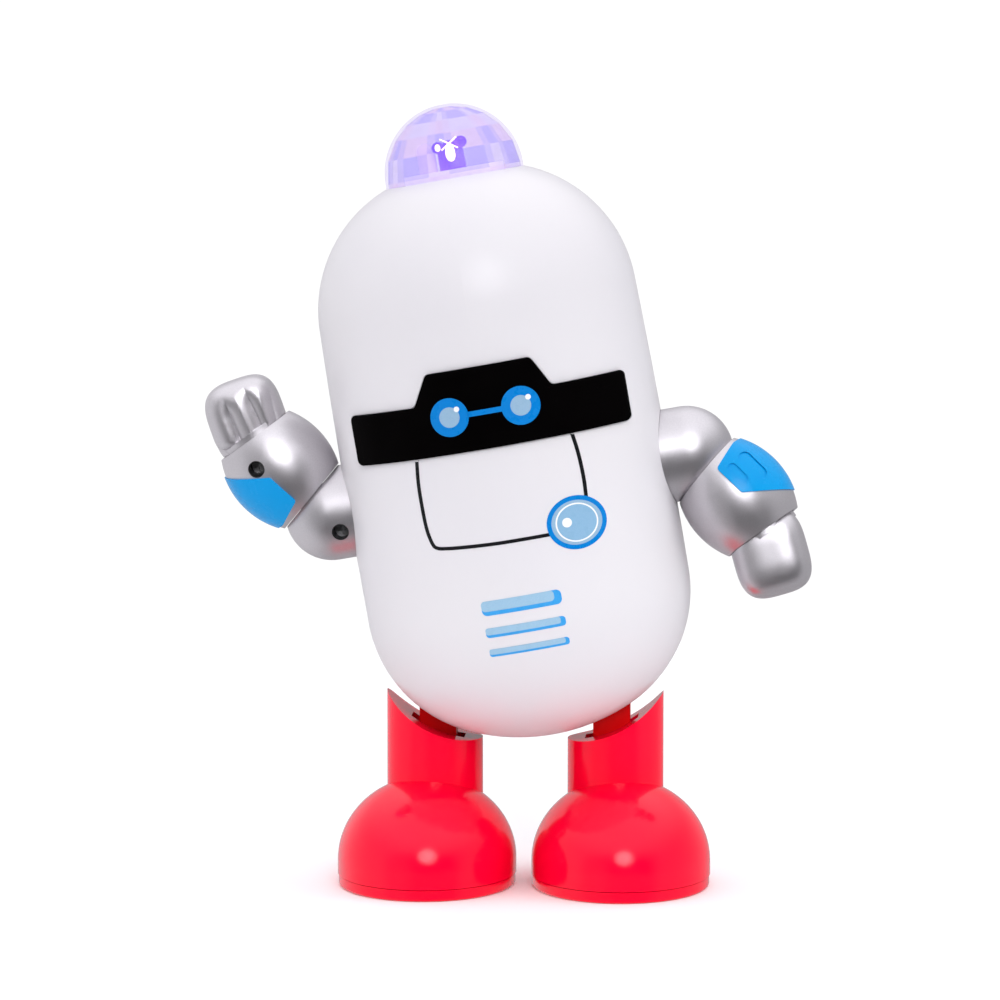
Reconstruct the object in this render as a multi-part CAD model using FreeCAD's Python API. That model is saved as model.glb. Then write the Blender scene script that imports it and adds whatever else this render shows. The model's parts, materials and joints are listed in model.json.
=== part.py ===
import FreeCAD, Part
import math
import os
from FreeCAD import Vector as V

# A battery-driven dancing toy robot, in millimetres.
# The row frame has +Z up and the robot facing -Y. The origin is on the floor, under the middle of the box
# that the robot fills. The capsule body sways about a front-to-back pin. It is built upright in a frame of
# its own at that pin (the body frame), then leant over by TILT. The legs and boots are built upright in a
# frame at the same pin. Each arm is built hanging, in a frame at the middle of its shoulder disc (the arm
# frame), with x outwards from the body.

# ---- where things stand ----
STAND_X = 4.75           # the middle of the two boots, from the row's origin
STAND_Y = 0.0            # the body's axis, from the row's origin
PIVOT_Z = 83.1           # height of the sway pin above the floor
TILT = 10.0              # lean of the body at rest, degrees, top towards -X
ARM_RAISED = 178.0       # turn of the left arm from hanging, degrees
ARM_SWUNG = 8.0          # turn of the right arm from hanging, degrees

# ---- body ----
TIP_R = 54.25            # rounding of the body's underside
TIP_Z = 10.85             # its centre on the axis
CORNER_R = 36.8          # rounding from the underside to the side
CORNER_RHO = 7.3         # its centre, from the axis
CORNER_Z = -5.0
SIDE_R = 43.95           # radius at the fullest place
SIDE_Z = 38.0
SHOULDER_ROUND = 38.0    # rounding from the side to the top
TOP_RHO = 5.25           # its centre, from the axis
TOP_Z = 74.3
WALL = 2.0
SEAM_W = 0.14            # width of the parting line round the body
SURFACE_START = -90.0    # where the turned surfaces start, degrees, clear of the parting line
BOSS_R = 3.2
WELL_BOSS_R = 4.4
BOSSES = [(-35.5, 6), (35.5, 6), (-35.5, 48), (35.5, 48), (-24, 90), (24, 90)]
SCREW_R = 1.2
HEAD_R = 2.2
HEAD_T = 1.5
WELL_R = 2.6
SCREW_FIT = 0.05

# ---- visor ----
VISOR_HALF = 36.8
VISOR_LOW = 38.9
VISOR_HIGH = 52.2
VISOR_BUMP_HALF = 18.2   # half-width of the raised middle at its foot
VISOR_BUMP_TOP_HALF = 13.8
VISOR_BUMP_HIGH = 60.4
VISOR_PROUD = 0.9
VISOR_DEEP = 0.8
VISOR_CORNER = 1.5

# ---- light dome ----
DOME_R = 18.8
DOME_Z = 110.9           # centre of the dome's sphere
DOME_WALL = 1.8
DOME_GAP = 0.2
LAMP_PLATE_R = 27.0
LAMP_PLATE_Z = 97.4
LAMP_PLATE_T = 1.6
FLANGE_T = 1.4
LAMP_SCREW_RHO = 24.0
PEDESTAL_R = 13.5
PEDESTAL_TOP = 112.0
LED_R = 2.5
LED_H = 13.0
LED_SPACING = 6.7

# ---- shoulders and arms ----
SHOULDER_Z = 25.8
SHOULDER_X = 41.0        # inner face of the shoulder disc, from the body's axis
SHOULDER_R = 12.7
BALL_X = 7.9
POCKET_GAP = 0.35
PAD_X = 38.0
PAD_R = 15.2
NECK_R = 5.5
NECK_FLANGE_R = 8.0
NECK_GAP = 0.2
RUN_GAP = 0.07
ARM_WALL = 1.6
ELBOW = V(12.5, 0, -5.5)
ELBOW_AXIS = V(0.65, 0, -0.76).normalize()
WRIST = V(24.6, 0, -24.6)
WRIST_AXIS = V(0.44, 0, -0.90).normalize()
JOIN_GAP = 0.15
BARREL_END_R = 11.4      # forearm's radius at both ends
BARREL_MID_R = 14.4
BARREL_SHIFT = 0.8       # the barrel's axis from the line between elbow and wrist
LIP = 1.1                # how far the forearm's rim overhangs the fist
SMALL_NECK_R = 4.6
SMALL_FLANGE_R = 6.6
ELBOW_FLANGE_T = 1.6
WRIST_FLANGE_T = 1.1
ARM_SCREWS = [(5.3, 4.1), (24.4, -16.6)]   # upper arm, forearm
ARM_POST_R = 3.0
ARM_WELL_R = 2.3
PANEL_PROUD = 0.45
PANEL_DEEP = 0.9
PANEL_OUTLINE = [(15.4, -6.4), (20.9, 0.2), (26.0, 3.0), (40.0, 3.0), (40.0, -15.1), (21.0, -13.9)]
FIST_W = 20.0
FIST_DEEP = 18.6
FIST_LEAN = 6.0
FIST_MID = V(25.6, 0, -30.5)
FIST_ROUND = 5.6
FINGER_R = 3.3

# ---- legs and boots ----
LEG_X = 23.6             # middle of a leg from the robot's mid-plane
LEG_W = 10.0
LEG_T = 7.0
LEG_FOOT_Z = -69.0
BRIDGE_LOW = -26.0
BRIDGE_HIGH = -14.0
LEG_SLOT_FROM = 14.0     # the slot in the body's underside, degrees from straight down
LEG_SLOT_TO = 54.5
LEG_GAP = 0.5
ANKLE_Z = -62.5
PIN_R = 1.5
BOOT_X = 24.6
BOOT_R = 13.05
BOOT_WALL = 2.0
RIM_CUT_X = 12.0         # axis of the round cut across the boot's top, from the robot's mid-plane
RIM_CUT_Z = 71.0
RIM_CUT_R = 31.8
ANKLE_SLOT = 2.2         # how much longer than the leg the boot's slot is, at each end
FOOT_X = 26.3
FOOT_Y = -7.0
FOOT_HALF_W = 24.2
FOOT_HALF_L = 31.0
FOOT_WIDE_Z = 7.0
FOOT_DOME_H = 22.0
SOLE_T = 3.1
SOLE_GAP = 0.2
SOLE_ROUND = 1.0
SOLE_SCREW_Y = (-27.0, 13.0)

# ---- drive ----
MODULE = 0.5
PRESSURE = math.radians(25.0)
WHEEL_TEETH = 48
PINION_TEETH = 12
BACKLASH = 0.08
CRANK_Z = 28.8           # height of the crank's axle above the sway pin
CRANK_E = CRANK_Z * math.sin(math.radians(TILT))
CRANK_AT = (0.0, CRANK_Z)
SECOND_AT = (9.0, CRANK_Z + 12)
FIRST_AT = (-3.0, CRANK_Z + 21)
MOTOR_AT = (-15.0, CRANK_Z + 30)
AXLE_R = 1.0
CRANK_AXLE_R = 1.5
GEAR_T = 2.1
GEAR_GAP = 0.3
PLATE_T = 1.3
CASE_FRONT = -19.5
LAYER_A = CASE_FRONT + PLATE_T + GEAR_GAP
LAYER_B = LAYER_A + GEAR_T + GEAR_GAP
LAYER_C = LAYER_B + GEAR_T + GEAR_GAP
CASE_BACK = LAYER_C + GEAR_T + 2 * GEAR_GAP
DISC_FRONT = CASE_BACK + PLATE_T + GEAR_GAP
DISC_T = 1.8
SWING_FRONT = -4.0
SWING_BACK = 0.0
OPEN_GAP = 0.3           # between the crank pin's end and the swing plate
SWAY_PIN_R = 2.0
CASE_CORNERS = [(-24, 22), (19, 22), (-28, 68), (17, 60)]
MOTOR_R = 10.0
MOTOR_FLAT = 7.6
MOTOR_L = 20.0

# ---- power and sound ----
CELL_R = 7.2
CELL_L = 48.5
CELL_PITCH = 14.9
BOX_FRONT = 15.0
BOX_WALL = 1.3
BOX_LOW = 14.0
BOX_HIGH = 72.0
DOOR_T = 1.7
DOOR_GAP = 0.2
SWITCH_Z = 9.3
KNOB_TRAVEL = 3.0
SPEAKER_Z = -17.5
SPEAKER_R = 11.0

X, Y, Z = V(1, 0, 0), V(0, 1, 0), V(0, 0, 1)
O = V(0, 0, 0)
BIG = 300.0


# ---------------------------------------------------------------- helpers
def rod(radius, start, end):
    """A cylinder from one point to another."""
    along = end.sub(start)
    return Part.makeCylinder(radius, along.Length, start, along)


def rod_y(radius, x, z, y0, y1):
    return rod(radius, V(x, y0, z), V(x, y1, z))


def block(x0, x1, y0, y1, z0, z1):
    return Part.makeBox(x1 - x0, y1 - y0, z1 - z0, V(x0, y0, z0))


def joined(first, *rest):
    return first.fuse(list(rest)).removeSplitter()


def front_of(shape, y=0.0):
    return shape.common(block(-BIG, BIG, -BIG, y, -BIG, BIG))


def back_of(shape, y=0.0):
    return shape.common(block(-BIG, BIG, y, BIG, -BIG, BIG))


def beyond(point, axis):
    """The half of space past a plane, as a big solid."""
    return Part.makeCylinder(BIG, BIG, point, axis)


def prism_y(points, y0, y1):
    """A straight-sided outline of (x, z) points, extruded along y."""
    loop = [V(x, y0, z) for x, z in points]
    face = Part.Face(Part.makePolygon(loop + [loop[0]]))
    return face.extrude(V(0, y1 - y0, 0))


def round_upright(solid, radius):
    """Rounds the edges that run along y."""
    upright = [e for e in solid.Edges if abs(abs(e.tangentAt(e.FirstParameter).y) - 1) < 1e-6]
    return solid.makeFillet(radius, upright)


def capsule(grow=0.0):
    """The body's outer form, grown outwards by grow, as a solid of revolution made of arcs."""
    corner = V(CORNER_RHO, 0, CORNER_Z)
    top = V(TOP_RHO, 0, TOP_Z)
    meet = corner.sub(V(0, 0, TIP_Z)).normalize()
    tip_r = TIP_R + grow
    bottom = V(0, 0, TIP_Z - tip_r)
    join = V(0, 0, TIP_Z).add(meet * tip_r)
    half = V(meet.x, 0, meet.z - 1).normalize()
    low = Part.Arc(bottom, V(0, 0, TIP_Z).add(half * tip_r), join)
    corner_r = CORNER_R + grow
    bulge = V(meet.x + 1, 0, meet.z).normalize()
    side_low = corner.add(X * corner_r)
    turn = Part.Arc(join, corner.add(bulge * corner_r), side_low)
    round_r = SHOULDER_ROUND + grow
    side_high = top.add(X * round_r)
    side = Part.Arc(side_low, V(SIDE_R + grow, 0, SIDE_Z), side_high)
    crown = top.add(Z * round_r)
    over = Part.Arc(side_high, top.add(V(1, 0, 1).normalize() * round_r), crown)
    peak = V(0, 0, crown.z)
    edges = [low, turn, side, over, Part.LineSegment(crown, peak), Part.LineSegment(peak, bottom)]
    wire = Part.Wire([e.toShape() for e in edges])
    form = Part.Face(wire).revolve(O, Z, 360)
    form.rotate(O, Z, SURFACE_START)
    return form


def screw(tip, head_end, thread_r=SCREW_R, head_r=HEAD_R, head_t=HEAD_T):
    """A pan-head self-tapping screw from its tip to the top of its head, with a cross recess."""
    way = head_end.sub(tip).normalize()
    neck = head_end.sub(way * head_t)
    body = joined(rod(thread_r, tip, neck), rod(head_r, neck, head_end))
    slot = head_t * 0.6
    turn = FreeCAD.Rotation(Z, way)
    for long_x, long_y in ((head_r * 1.3, head_r * 0.32), (head_r * 0.32, head_r * 1.3)):
        cut = Part.makeBox(long_x, long_y, slot + 1, V(-long_x / 2, -long_y / 2, -slot))
        cut.Placement = FreeCAD.Placement(head_end, turn)
        body = body.cut(cut)
    return body


def gear(teeth, centre, y0, thick, phase):
    """A spur gear whose axis runs along y, with one tooth centred at the angle phase in the x-z plane."""
    pitch_r = teeth * MODULE / 2
    base_r = pitch_r * math.cos(PRESSURE)
    tip_r = pitch_r + MODULE
    root_r = pitch_r - 1.25 * MODULE
    half_tooth = (math.pi * MODULE / 2 - BACKLASH) / 2 / pitch_r
    at_pitch = math.tan(PRESSURE) - PRESSURE

    def half_angle(radius):
        press = math.acos(min(1.0, base_r / radius))
        return half_tooth + at_pitch - (math.tan(press) - press)

    start_r = max(root_r, base_r)
    radii = [start_r + (tip_r - start_r) * i / 4 for i in range(5)]
    if root_r < base_r:
        radii.insert(0, root_r)
    points = []
    for n in range(teeth):
        mid = phase + 2 * math.pi * n / teeth
        for r in radii:
            a = mid - half_angle(max(r, start_r))
            points.append((centre[0] + r * math.cos(a), centre[1] + r * math.sin(a)))
        for r in reversed(radii):
            a = mid + half_angle(max(r, start_r))
            points.append((centre[0] + r * math.cos(a), centre[1] + r * math.sin(a)))
    return prism_y(points, y0, y0 + thick)


def direction(start, end):
    return math.atan2(end[1] - start[1], end[0] - start[0])


def meshed_phase(teeth, centre, other):
    """The phase that puts a gap of this gear opposite a tooth of the other, on the line of centres."""
    return direction(centre, other) + math.pi / teeth


# ---------------------------------------------------------------- body shells
def visor_outline(grow=0.0):
    low, high = VISOR_LOW - grow, VISOR_HIGH + grow
    half = VISOR_HALF + grow
    top = VISOR_BUMP_HIGH + grow
    foot = VISOR_BUMP_HALF + grow
    peak = VISOR_BUMP_TOP_HALF + grow
    points = [(-half, low), (half, low), (half, high), (foot, high), (peak, top),
              (-peak, top), (-foot, high), (-half, high)]
    return round_upright(prism_y(points, -BIG, -10), VISOR_CORNER)


def side_pad(side):
    """The flat round seat that an arm turns on, inside the shell's wall."""
    return rod(PAD_R, V(side * PAD_X, 0, SHOULDER_Z), V(side * BIG, 0, SHOULDER_Z))


def body_shell():
    """The hollow body in one piece, before it is parted into front and rear."""
    shell = capsule().cut(capsule(-WALL))
    pads = [side_pad(s).common(capsule(-WALL / 2)) for s in (-1, 1)]
    shell = joined(shell, *pads)
    for s in (-1, 1):
        face_x = SHOULDER_X - POCKET_GAP
        seat = rod(SHOULDER_R + POCKET_GAP, V(s * face_x, 0, SHOULDER_Z), V(s * BIG, 0, SHOULDER_Z))
        hole = rod(NECK_R + RUN_GAP, V(s * 20, 0, SHOULDER_Z), V(s * BIG, 0, SHOULDER_Z))
        shell = shell.cut(seat).cut(hole)
        a0, a1 = math.radians(LEG_SLOT_FROM), math.radians(LEG_SLOT_TO)
        corners = [(33, a0), (60, a0), (60, a1), (33, a1)]
        sector = [(s * r * math.sin(a), -r * math.cos(a)) for r, a in corners]
        half = LEG_T / 2 + LEG_GAP
        shell = shell.cut(prism_y(sector, -half, half))
    return shell.cut(rod(DOME_R + DOME_GAP, V(0, 0, 90), V(0, 0, 130)))


def inside(shape):
    """Trims a boss to the inside of the body, well into the wall."""
    return shape.common(capsule(-WALL / 2))


def lamp_boss(y):
    return inside(rod(BOSS_R, V(0, y, LAMP_PLATE_Z + LAMP_PLATE_T + FLANGE_T), V(0, y, 120)))


def front_body_shell(whole):
    shell = front_of(whole, -SEAM_W / 2)
    bosses = [front_of(inside(rod_y(BOSS_R, x, z, -60, 0))) for x, z in BOSSES]
    posts = [inside(rod_y(BOSS_R, x, z, -60, CASE_FRONT)) for x, z in CASE_CORNERS]
    shell = joined(shell, lamp_boss(-LAMP_SCREW_RHO), *bosses, *posts)
    pocket = visor_outline(0.15).cut(capsule(-VISOR_DEEP - 0.05))
    shell = shell.cut(pocket)
    for x, z in BOSSES:
        shell = shell.cut(rod_y(SCREW_R + SCREW_FIT, x, z, -10, 5))
    for x, z in CASE_CORNERS:
        shell = shell.cut(rod_y(SCREW_R + SCREW_FIT, x, z, CASE_FRONT - 8, CASE_FRONT + 1))
    bore = rod(SCREW_R + SCREW_FIT, V(0, -LAMP_SCREW_RHO, 98), V(0, -LAMP_SCREW_RHO, 104))
    return shell.cut(bore)


def rear_body_shell(whole):
    shell = back_of(whole, SEAM_W / 2)
    bosses = [back_of(inside(rod_y(WELL_BOSS_R, x, z, 0, 60))) for x, z in BOSSES]
    post = inside(rod_y(4.6, 0, 0, SWING_BACK + 0.4, 60))
    shell = joined(shell, lamp_boss(LAMP_SCREW_RHO), post, *bosses)
    for x, z in BOSSES:
        shell = shell.cut(rod_y(SCREW_R + SCREW_FIT, x, z, -5, 20))
        shell = shell.cut(rod_y(WELL_R, x, z, 6.0, 60))
    bore = rod(SCREW_R + SCREW_FIT, V(0, LAMP_SCREW_RHO, 98), V(0, LAMP_SCREW_RHO, 104))
    shell = shell.cut(bore)
    shell = shell.cut(rod_y(SWAY_PIN_R + 0.03, 0, 0, -1, 14))
    shell = shell.cut(door_form(0.0))
    slot = block(-5.0, 5.0, 30, 60, SWITCH_Z - 1.9, SWITCH_Z + 1.9)
    shell = shell.cut(slot)
    holes = [(0, 0)] + [(4.2 * math.cos(a * math.pi / 3), 4.2 * math.sin(a * math.pi / 3)) for a in range(6)]
    for x, z in holes:
        shell = shell.cut(rod_y(1.0, x, SPEAKER_Z + z, 32, 60))
    return shell


def face_visor():
    band = capsule(VISOR_PROUD).cut(capsule(-VISOR_DEEP))
    plate = visor_outline().common(band)
    edges = []
    for edge in plate.Edges:
        mid = edge.valueAt((edge.FirstParameter + edge.LastParameter) / 2)
        rho = math.hypot(mid.x, mid.y)
        if rho > SIDE_R + VISOR_PROUD - 0.45:
            edges.append(edge)
    try:
        return plate.makeFillet(0.5, edges)
    except Exception:
        return plate


# ---------------------------------------------------------------- dome and lamps
def dome_lens():
    """Clear dome, smooth outside and faceted inside, with a flange that the shells hold."""
    centre = V(0, 0, DOME_Z)
    flange_low = LAMP_PLATE_Z + LAMP_PLATE_T
    ball = Part.makeSphere(DOME_R, centre)
    skirt = rod(DOME_R, V(0, 0, flange_low), centre)
    flange = rod(LAMP_PLATE_R, V(0, 0, flange_low), V(0, 0, flange_low + FLANGE_T))
    keep = block(-BIG, BIG, -BIG, BIG, flange_low, BIG)
    body = joined(ball.common(keep), skirt, flange)
    inner = DOME_R - DOME_WALL
    rows = [(1.0, 0.0), (0.966, 0.259), (0.866, 0.5), (0.707, 0.707), (0.5, 0.866), (0.259, 0.966)]
    cut = rod(inner * 0.97, V(0, 0, flange_low - 1), V(0, 0, DOME_Z + 1))
    rings = []
    for out, up in rows:
        points = []
        for n in range(17):
            a = 2 * math.pi * n / 16
            points.append(V(inner * out * math.cos(a), inner * out * math.sin(a), DOME_Z + inner * up))
        rings.append(Part.makePolygon(points))
    facets = Part.makeLoft(rings, True, True)
    body = body.cut(cut).cut(facets)
    for y in (-LAMP_SCREW_RHO, LAMP_SCREW_RHO):
        body = body.cut(rod(SCREW_R + 0.2, V(0, y, flange_low - 1), V(0, y, flange_low + 3)))
    return body


def led_places():
    """The violet lamp on the dome's axis, and the clear one beside it."""
    return [(0.0, 0.0), (-LED_SPACING, 0.0)]


def lamp_reflector():
    """White stepped plate that stops the dome from below and that the lamps stand in."""
    plate = rod(LAMP_PLATE_R, V(0, 0, LAMP_PLATE_Z), V(0, 0, LAMP_PLATE_Z + LAMP_PLATE_T))
    drum = rod(PEDESTAL_R, V(0, 0, LAMP_PLATE_Z), V(0, 0, PEDESTAL_TOP))
    body = joined(plate, drum)
    body = body.cut(rod(PEDESTAL_R - 1.5, V(0, 0, LAMP_PLATE_Z - 1), V(0, 0, PEDESTAL_TOP - 1.5)))
    for x, y in led_places():
        body = body.cut(rod(LED_R + 0.1, V(x, y, 100), V(x, y, PEDESTAL_TOP + 1)))
    for y in (-LAMP_SCREW_RHO, LAMP_SCREW_RHO):
        body = body.cut(rod(SCREW_R + 0.2, V(0, y, 95), V(0, y, 101)))
    return body


def led_board():
    low = PEDESTAL_TOP - 5.0
    return rod(PEDESTAL_R - 1.6, V(0, 0, low - 1.5), V(0, 0, low))


def led(x, y):
    low = PEDESTAL_TOP - 5.0
    top = low + LED_H
    stem = rod(LED_R, V(x, y, low), V(x, y, top - LED_R))
    return joined(stem, Part.makeSphere(LED_R, V(x, y, top - LED_R)))


def lamp_screws():
    low = LAMP_PLATE_Z
    return [screw(V(0, y, low + 6.4), V(0, y, low - HEAD_T)) for y in (-LAMP_SCREW_RHO, LAMP_SCREW_RHO)]


# ---------------------------------------------------------------- power and sound
def door_form(gap):
    """The straight-sided block that the battery door is cut with, and its opening with no gap."""
    half = 1.5 * CELL_PITCH - gap
    low, high = BOX_LOW + 2 + gap, BOX_HIGH - 2 - gap
    return round_upright(prism_y([(-half, low), (half, low), (half, high), (-half, high)], 30, 60), 3.0)


def battery_door():
    skin = capsule().cut(capsule(-DOOR_T))
    door = door_form(DOOR_GAP).common(skin)
    z = BOX_HIGH - 8.0
    door = joined(door, rod_y(3.0, 0, z, 38.5, 42.9).common(capsule(-0.3)))
    door = door.cut(rod_y(SCREW_R + 0.2, 0, z, 30, 60))
    return door.cut(rod_y(HEAD_R + 0.25, 0, z, 41.6, 60))


def battery_box():
    half = 1.5 * CELL_PITCH + BOX_WALL
    tray = block(-half, half, BOX_FRONT, 60, BOX_LOW, BOX_HIGH).common(capsule(-WALL - 0.1))
    return tray.cut(block(-half + BOX_WALL, half - BOX_WALL, BOX_FRONT + BOX_WALL, 60,
                          BOX_LOW + BOX_WALL, BOX_HIGH - BOX_WALL))


def cell(x, up):
    """An AA cell, its small pole upwards when up is 1."""
    y = BOX_FRONT + BOX_WALL + CELL_R + 0.15
    mid = (BOX_LOW + BOX_HIGH) / 2
    can = rod(CELL_R, V(x, y, mid - up * CELL_L / 2), V(x, y, mid + up * CELL_L / 2))
    pole = rod(2.7, V(x, y, mid + up * CELL_L / 2), V(x, y, mid + up * (CELL_L / 2 + 1.2)))
    return joined(can, pole)


def battery_cells():
    return Part.makeCompound([cell(n * CELL_PITCH, (-1) ** n) for n in (-1, 0, 1)])


def battery_contacts():
    """Spring-steel plates at both ends of the battery tray."""
    y = BOX_FRONT + BOX_WALL + CELL_R
    plates = []
    for n in (-1, 0, 1):
        x = n * CELL_PITCH
        for z in (BOX_LOW + BOX_WALL, BOX_HIGH - BOX_WALL - 0.5):
            plates.append(block(x - 5.5, x + 5.5, y - 5.5, y + 5.5, z, z + 0.5))
    return Part.makeCompound(plates)


def power_switch_body():
    frame = block(-6.5, 6.5, 33.5, 39.2, SWITCH_Z - 2.9, SWITCH_Z + 2.9)
    track = block(-5.0, 5.0, 36.0, 45, SWITCH_Z - 1.6, SWITCH_Z + 1.6)
    return frame.cut(track)


def power_switch_knob():
    at = -KNOB_TRAVEL / 2
    foot = block(at - 2.6, at + 2.6, 36.2, 38.2, SWITCH_Z - 1.5, SWITCH_Z + 1.5)
    stem = block(at - 1.8, at + 1.8, 38.0, 44.6, SWITCH_Z - 1.5, SWITCH_Z + 1.5)
    for n in (-1, 0, 1):
        stem = stem.cut(block(at + n - 0.2, at + n + 0.2, 44.2, 46, SWITCH_Z - 3, SWITCH_Z + 3))
    return joined(foot, stem)


def speaker():
    basket = Part.makeCone(6.0, SPEAKER_R, 3.5, V(0, 25.5, SPEAKER_Z), Y)
    rim = rod_y(SPEAKER_R, 0, SPEAKER_Z, 29.0, 30.2)
    magnet = rod_y(6.5, 0, SPEAKER_Z, 22.5, 25.5)
    body = joined(basket, rim, magnet)
    dish = Part.makeCone(3.0, SPEAKER_R - 1.4, 3.0, V(0, 27.3, SPEAKER_Z), Y)
    return body.cut(dish)


def speaker_cradle():
    """Ring with arms that clamps the speaker behind the grille."""
    ring = rod_y(SPEAKER_R + 1.8, 0, SPEAKER_Z, 26.5, 29.8).cut(rod_y(SPEAKER_R + 0.15, 0, SPEAKER_Z, 20, 40))
    return ring.common(capsule(-WALL - 0.2))


def main_circuit_board():
    board = block(-18, 18, 2.0, 3.6, 74, 95)
    chip = block(-5, 5, 0.6, 2.0, 82, 89)
    cans = [rod(2.5, V(x, 2.0, 77.5), V(x, -4.0, 77.5)) for x in (-12, -5.5)]
    return joined(board, chip, *cans)


# ---------------------------------------------------------------- drive
def case_plate(y):
    """A gear-case plate, from the sway pin up to the motor."""
    outline = [(-7, -7), (7, -7), (12, 16), (23, 18), (24, 48), (20, 64), (-6, 73), (-32, 73),
               (-32, 50), (-28, 17), (-12, 16)]
    plate = round_upright(prism_y(outline, y, y + PLATE_T), 3.0)
    for at in (FIRST_AT, SECOND_AT):
        plate = plate.cut(rod_y(AXLE_R + 0.02, at[0], at[1], y - 1, y + 3))
    plate = plate.cut(rod_y(CRANK_AXLE_R + RUN_GAP, CRANK_AT[0], CRANK_AT[1], y - 1, y + 3))
    plate = plate.cut(rod_y(SWAY_PIN_R + 0.03, 0, 0, y - 1, y + 3))
    for x, z in CASE_CORNERS:
        plate = plate.cut(rod_y(SCREW_R + 0.1, x, z, y - 1, y + 3))
    return plate


def gearbox_front():
    body = case_plate(CASE_FRONT)
    for x, z in CASE_CORNERS:
        tube = rod_y(2.4, x, z, CASE_FRONT + PLATE_T, CASE_BACK).cut(rod_y(SCREW_R + 0.1, x, z, -40, 0))
        body = joined(body, tube)
    return body


def gearbox_back():
    body = case_plate(CASE_BACK)
    return body.cut(rod_y(3.2, MOTOR_AT[0], MOTOR_AT[1], CASE_BACK - 1, CASE_BACK + 4))


def gearbox_screws():
    head = CASE_BACK + PLATE_T + HEAD_T
    return Part.makeCompound([screw(V(x, CASE_FRONT - 7, z), V(x, head, z)) for x, z in CASE_CORNERS])


def compound_gear(at, driver_at, driven_at, wheel_y, pinion_y):
    """A wheel and a pinion in one moulding, the wheel meshed towards its driver, the pinion towards the next."""
    wheel = gear(WHEEL_TEETH, at, wheel_y, GEAR_T, direction(at, driver_at))
    pinion = gear(PINION_TEETH, at, wheel_y + GEAR_T, pinion_y + GEAR_T - wheel_y - GEAR_T,
                  meshed_phase(PINION_TEETH, at, driven_at))
    body = joined(wheel, pinion)
    return body.cut(rod_y(AXLE_R + RUN_GAP, at[0], at[1], wheel_y - 1, pinion_y + GEAR_T + 1))


def first_gear():
    return compound_gear(FIRST_AT, MOTOR_AT, SECOND_AT, LAYER_A, LAYER_B)


def second_gear():
    return compound_gear(SECOND_AT, FIRST_AT, CRANK_AT, LAYER_B, LAYER_C)


def gear_axle(at):
    return rod_y(AXLE_R, at[0], at[1], CASE_FRONT, CASE_BACK + PLATE_T)


def crank_gear():
    wheel = gear(WHEEL_TEETH, CRANK_AT, LAYER_C, GEAR_T, direction(CRANK_AT, SECOND_AT))
    return wheel.cut(rod_y(CRANK_AXLE_R, CRANK_AT[0], CRANK_AT[1], -40, 0))


def crank_pin_place():
    """The pin at the sway's end stop, where the slot of the swing plate is tangent to the pin's circle."""
    lean = math.radians(TILT)
    reach = CRANK_Z * math.cos(lean)
    return reach * math.sin(lean), reach * math.cos(lean)


def crank_disc():
    x, z = CRANK_AT
    px, pz = crank_pin_place()
    disc = rod_y(CRANK_E + 2.6, x, z, DISC_FRONT, DISC_FRONT + DISC_T)
    disc = disc.cut(rod_y(CRANK_AXLE_R, x, z, DISC_FRONT - 1, DISC_FRONT + 5))
    return joined(disc, rod_y(1.5, px, pz, DISC_FRONT + DISC_T, SWING_FRONT - OPEN_GAP))


def crank_shaft():
    return rod_y(CRANK_AXLE_R, CRANK_AT[0], CRANK_AT[1], CASE_FRONT - 0.5, DISC_FRONT + DISC_T)


def motor():
    x, z = MOTOR_AT
    face = CASE_BACK + PLATE_T
    can = rod_y(MOTOR_R, x, z, face, face + MOTOR_L)
    can = can.common(block(x - MOTOR_R, x + MOTOR_R, face, face + MOTOR_L, z - MOTOR_FLAT, z + MOTOR_FLAT))
    nose = rod_y(3.0, x, z, face - PLATE_T, face)
    return joined(can, nose).cut(rod_y(AXLE_R + RUN_GAP, x, z, face - 5, face + 12))


def motor_shaft():
    x, z = MOTOR_AT
    return rod_y(AXLE_R, x, z, LAYER_A, CASE_BACK + PLATE_T + 11.5)


def motor_pinion():
    body = gear(PINION_TEETH, MOTOR_AT, LAYER_A, GEAR_T + 0.8, meshed_phase(PINION_TEETH, MOTOR_AT, FIRST_AT))
    return body.cut(rod_y(AXLE_R, MOTOR_AT[0], MOTOR_AT[1], -40, 0))


def sway_pin():
    return rod_y(SWAY_PIN_R, 0, 0, CASE_FRONT, 13.5)


# ---------------------------------------------------------------- legs
def swing_yoke():
    """Plate on the sway pin: a slotted arm that the crank drives, and a bridge that carries both legs."""
    half = LEG_X + LEG_W / 2
    bridge = block(-half, half, SWING_FRONT, SWING_BACK, BRIDGE_LOW, BRIDGE_HIGH)
    top = CRANK_Z + CRANK_E + 6
    arm = block(-5.2, 5.2, SWING_FRONT, SWING_BACK, BRIDGE_HIGH, top - 5.2)
    end = rod_y(5.2, 0, top - 5.2, SWING_FRONT, SWING_BACK)
    hub = rod_y(6.5, 0, 0, SWING_FRONT, SWING_BACK)
    body = joined(bridge, arm, end, hub)
    low, high = CRANK_Z - CRANK_E - 2, CRANK_Z + CRANK_E + 2
    slot = block(-1.7, 1.7, -10, 5, low, high)
    body = body.cut(slot)
    body = body.cut(rod_y(SWAY_PIN_R + RUN_GAP, 0, 0, -10, 5))
    for x, z in leg_screw_places():
        body = body.cut(rod_y(SCREW_R + 0.1, x, z, -10, 5))
    return body


def leg_screw_places():
    return [(s * LEG_X + d, (BRIDGE_LOW + BRIDGE_HIGH) / 2) for s in (-1, 1) for d in (-2.6, 2.6)]


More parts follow.
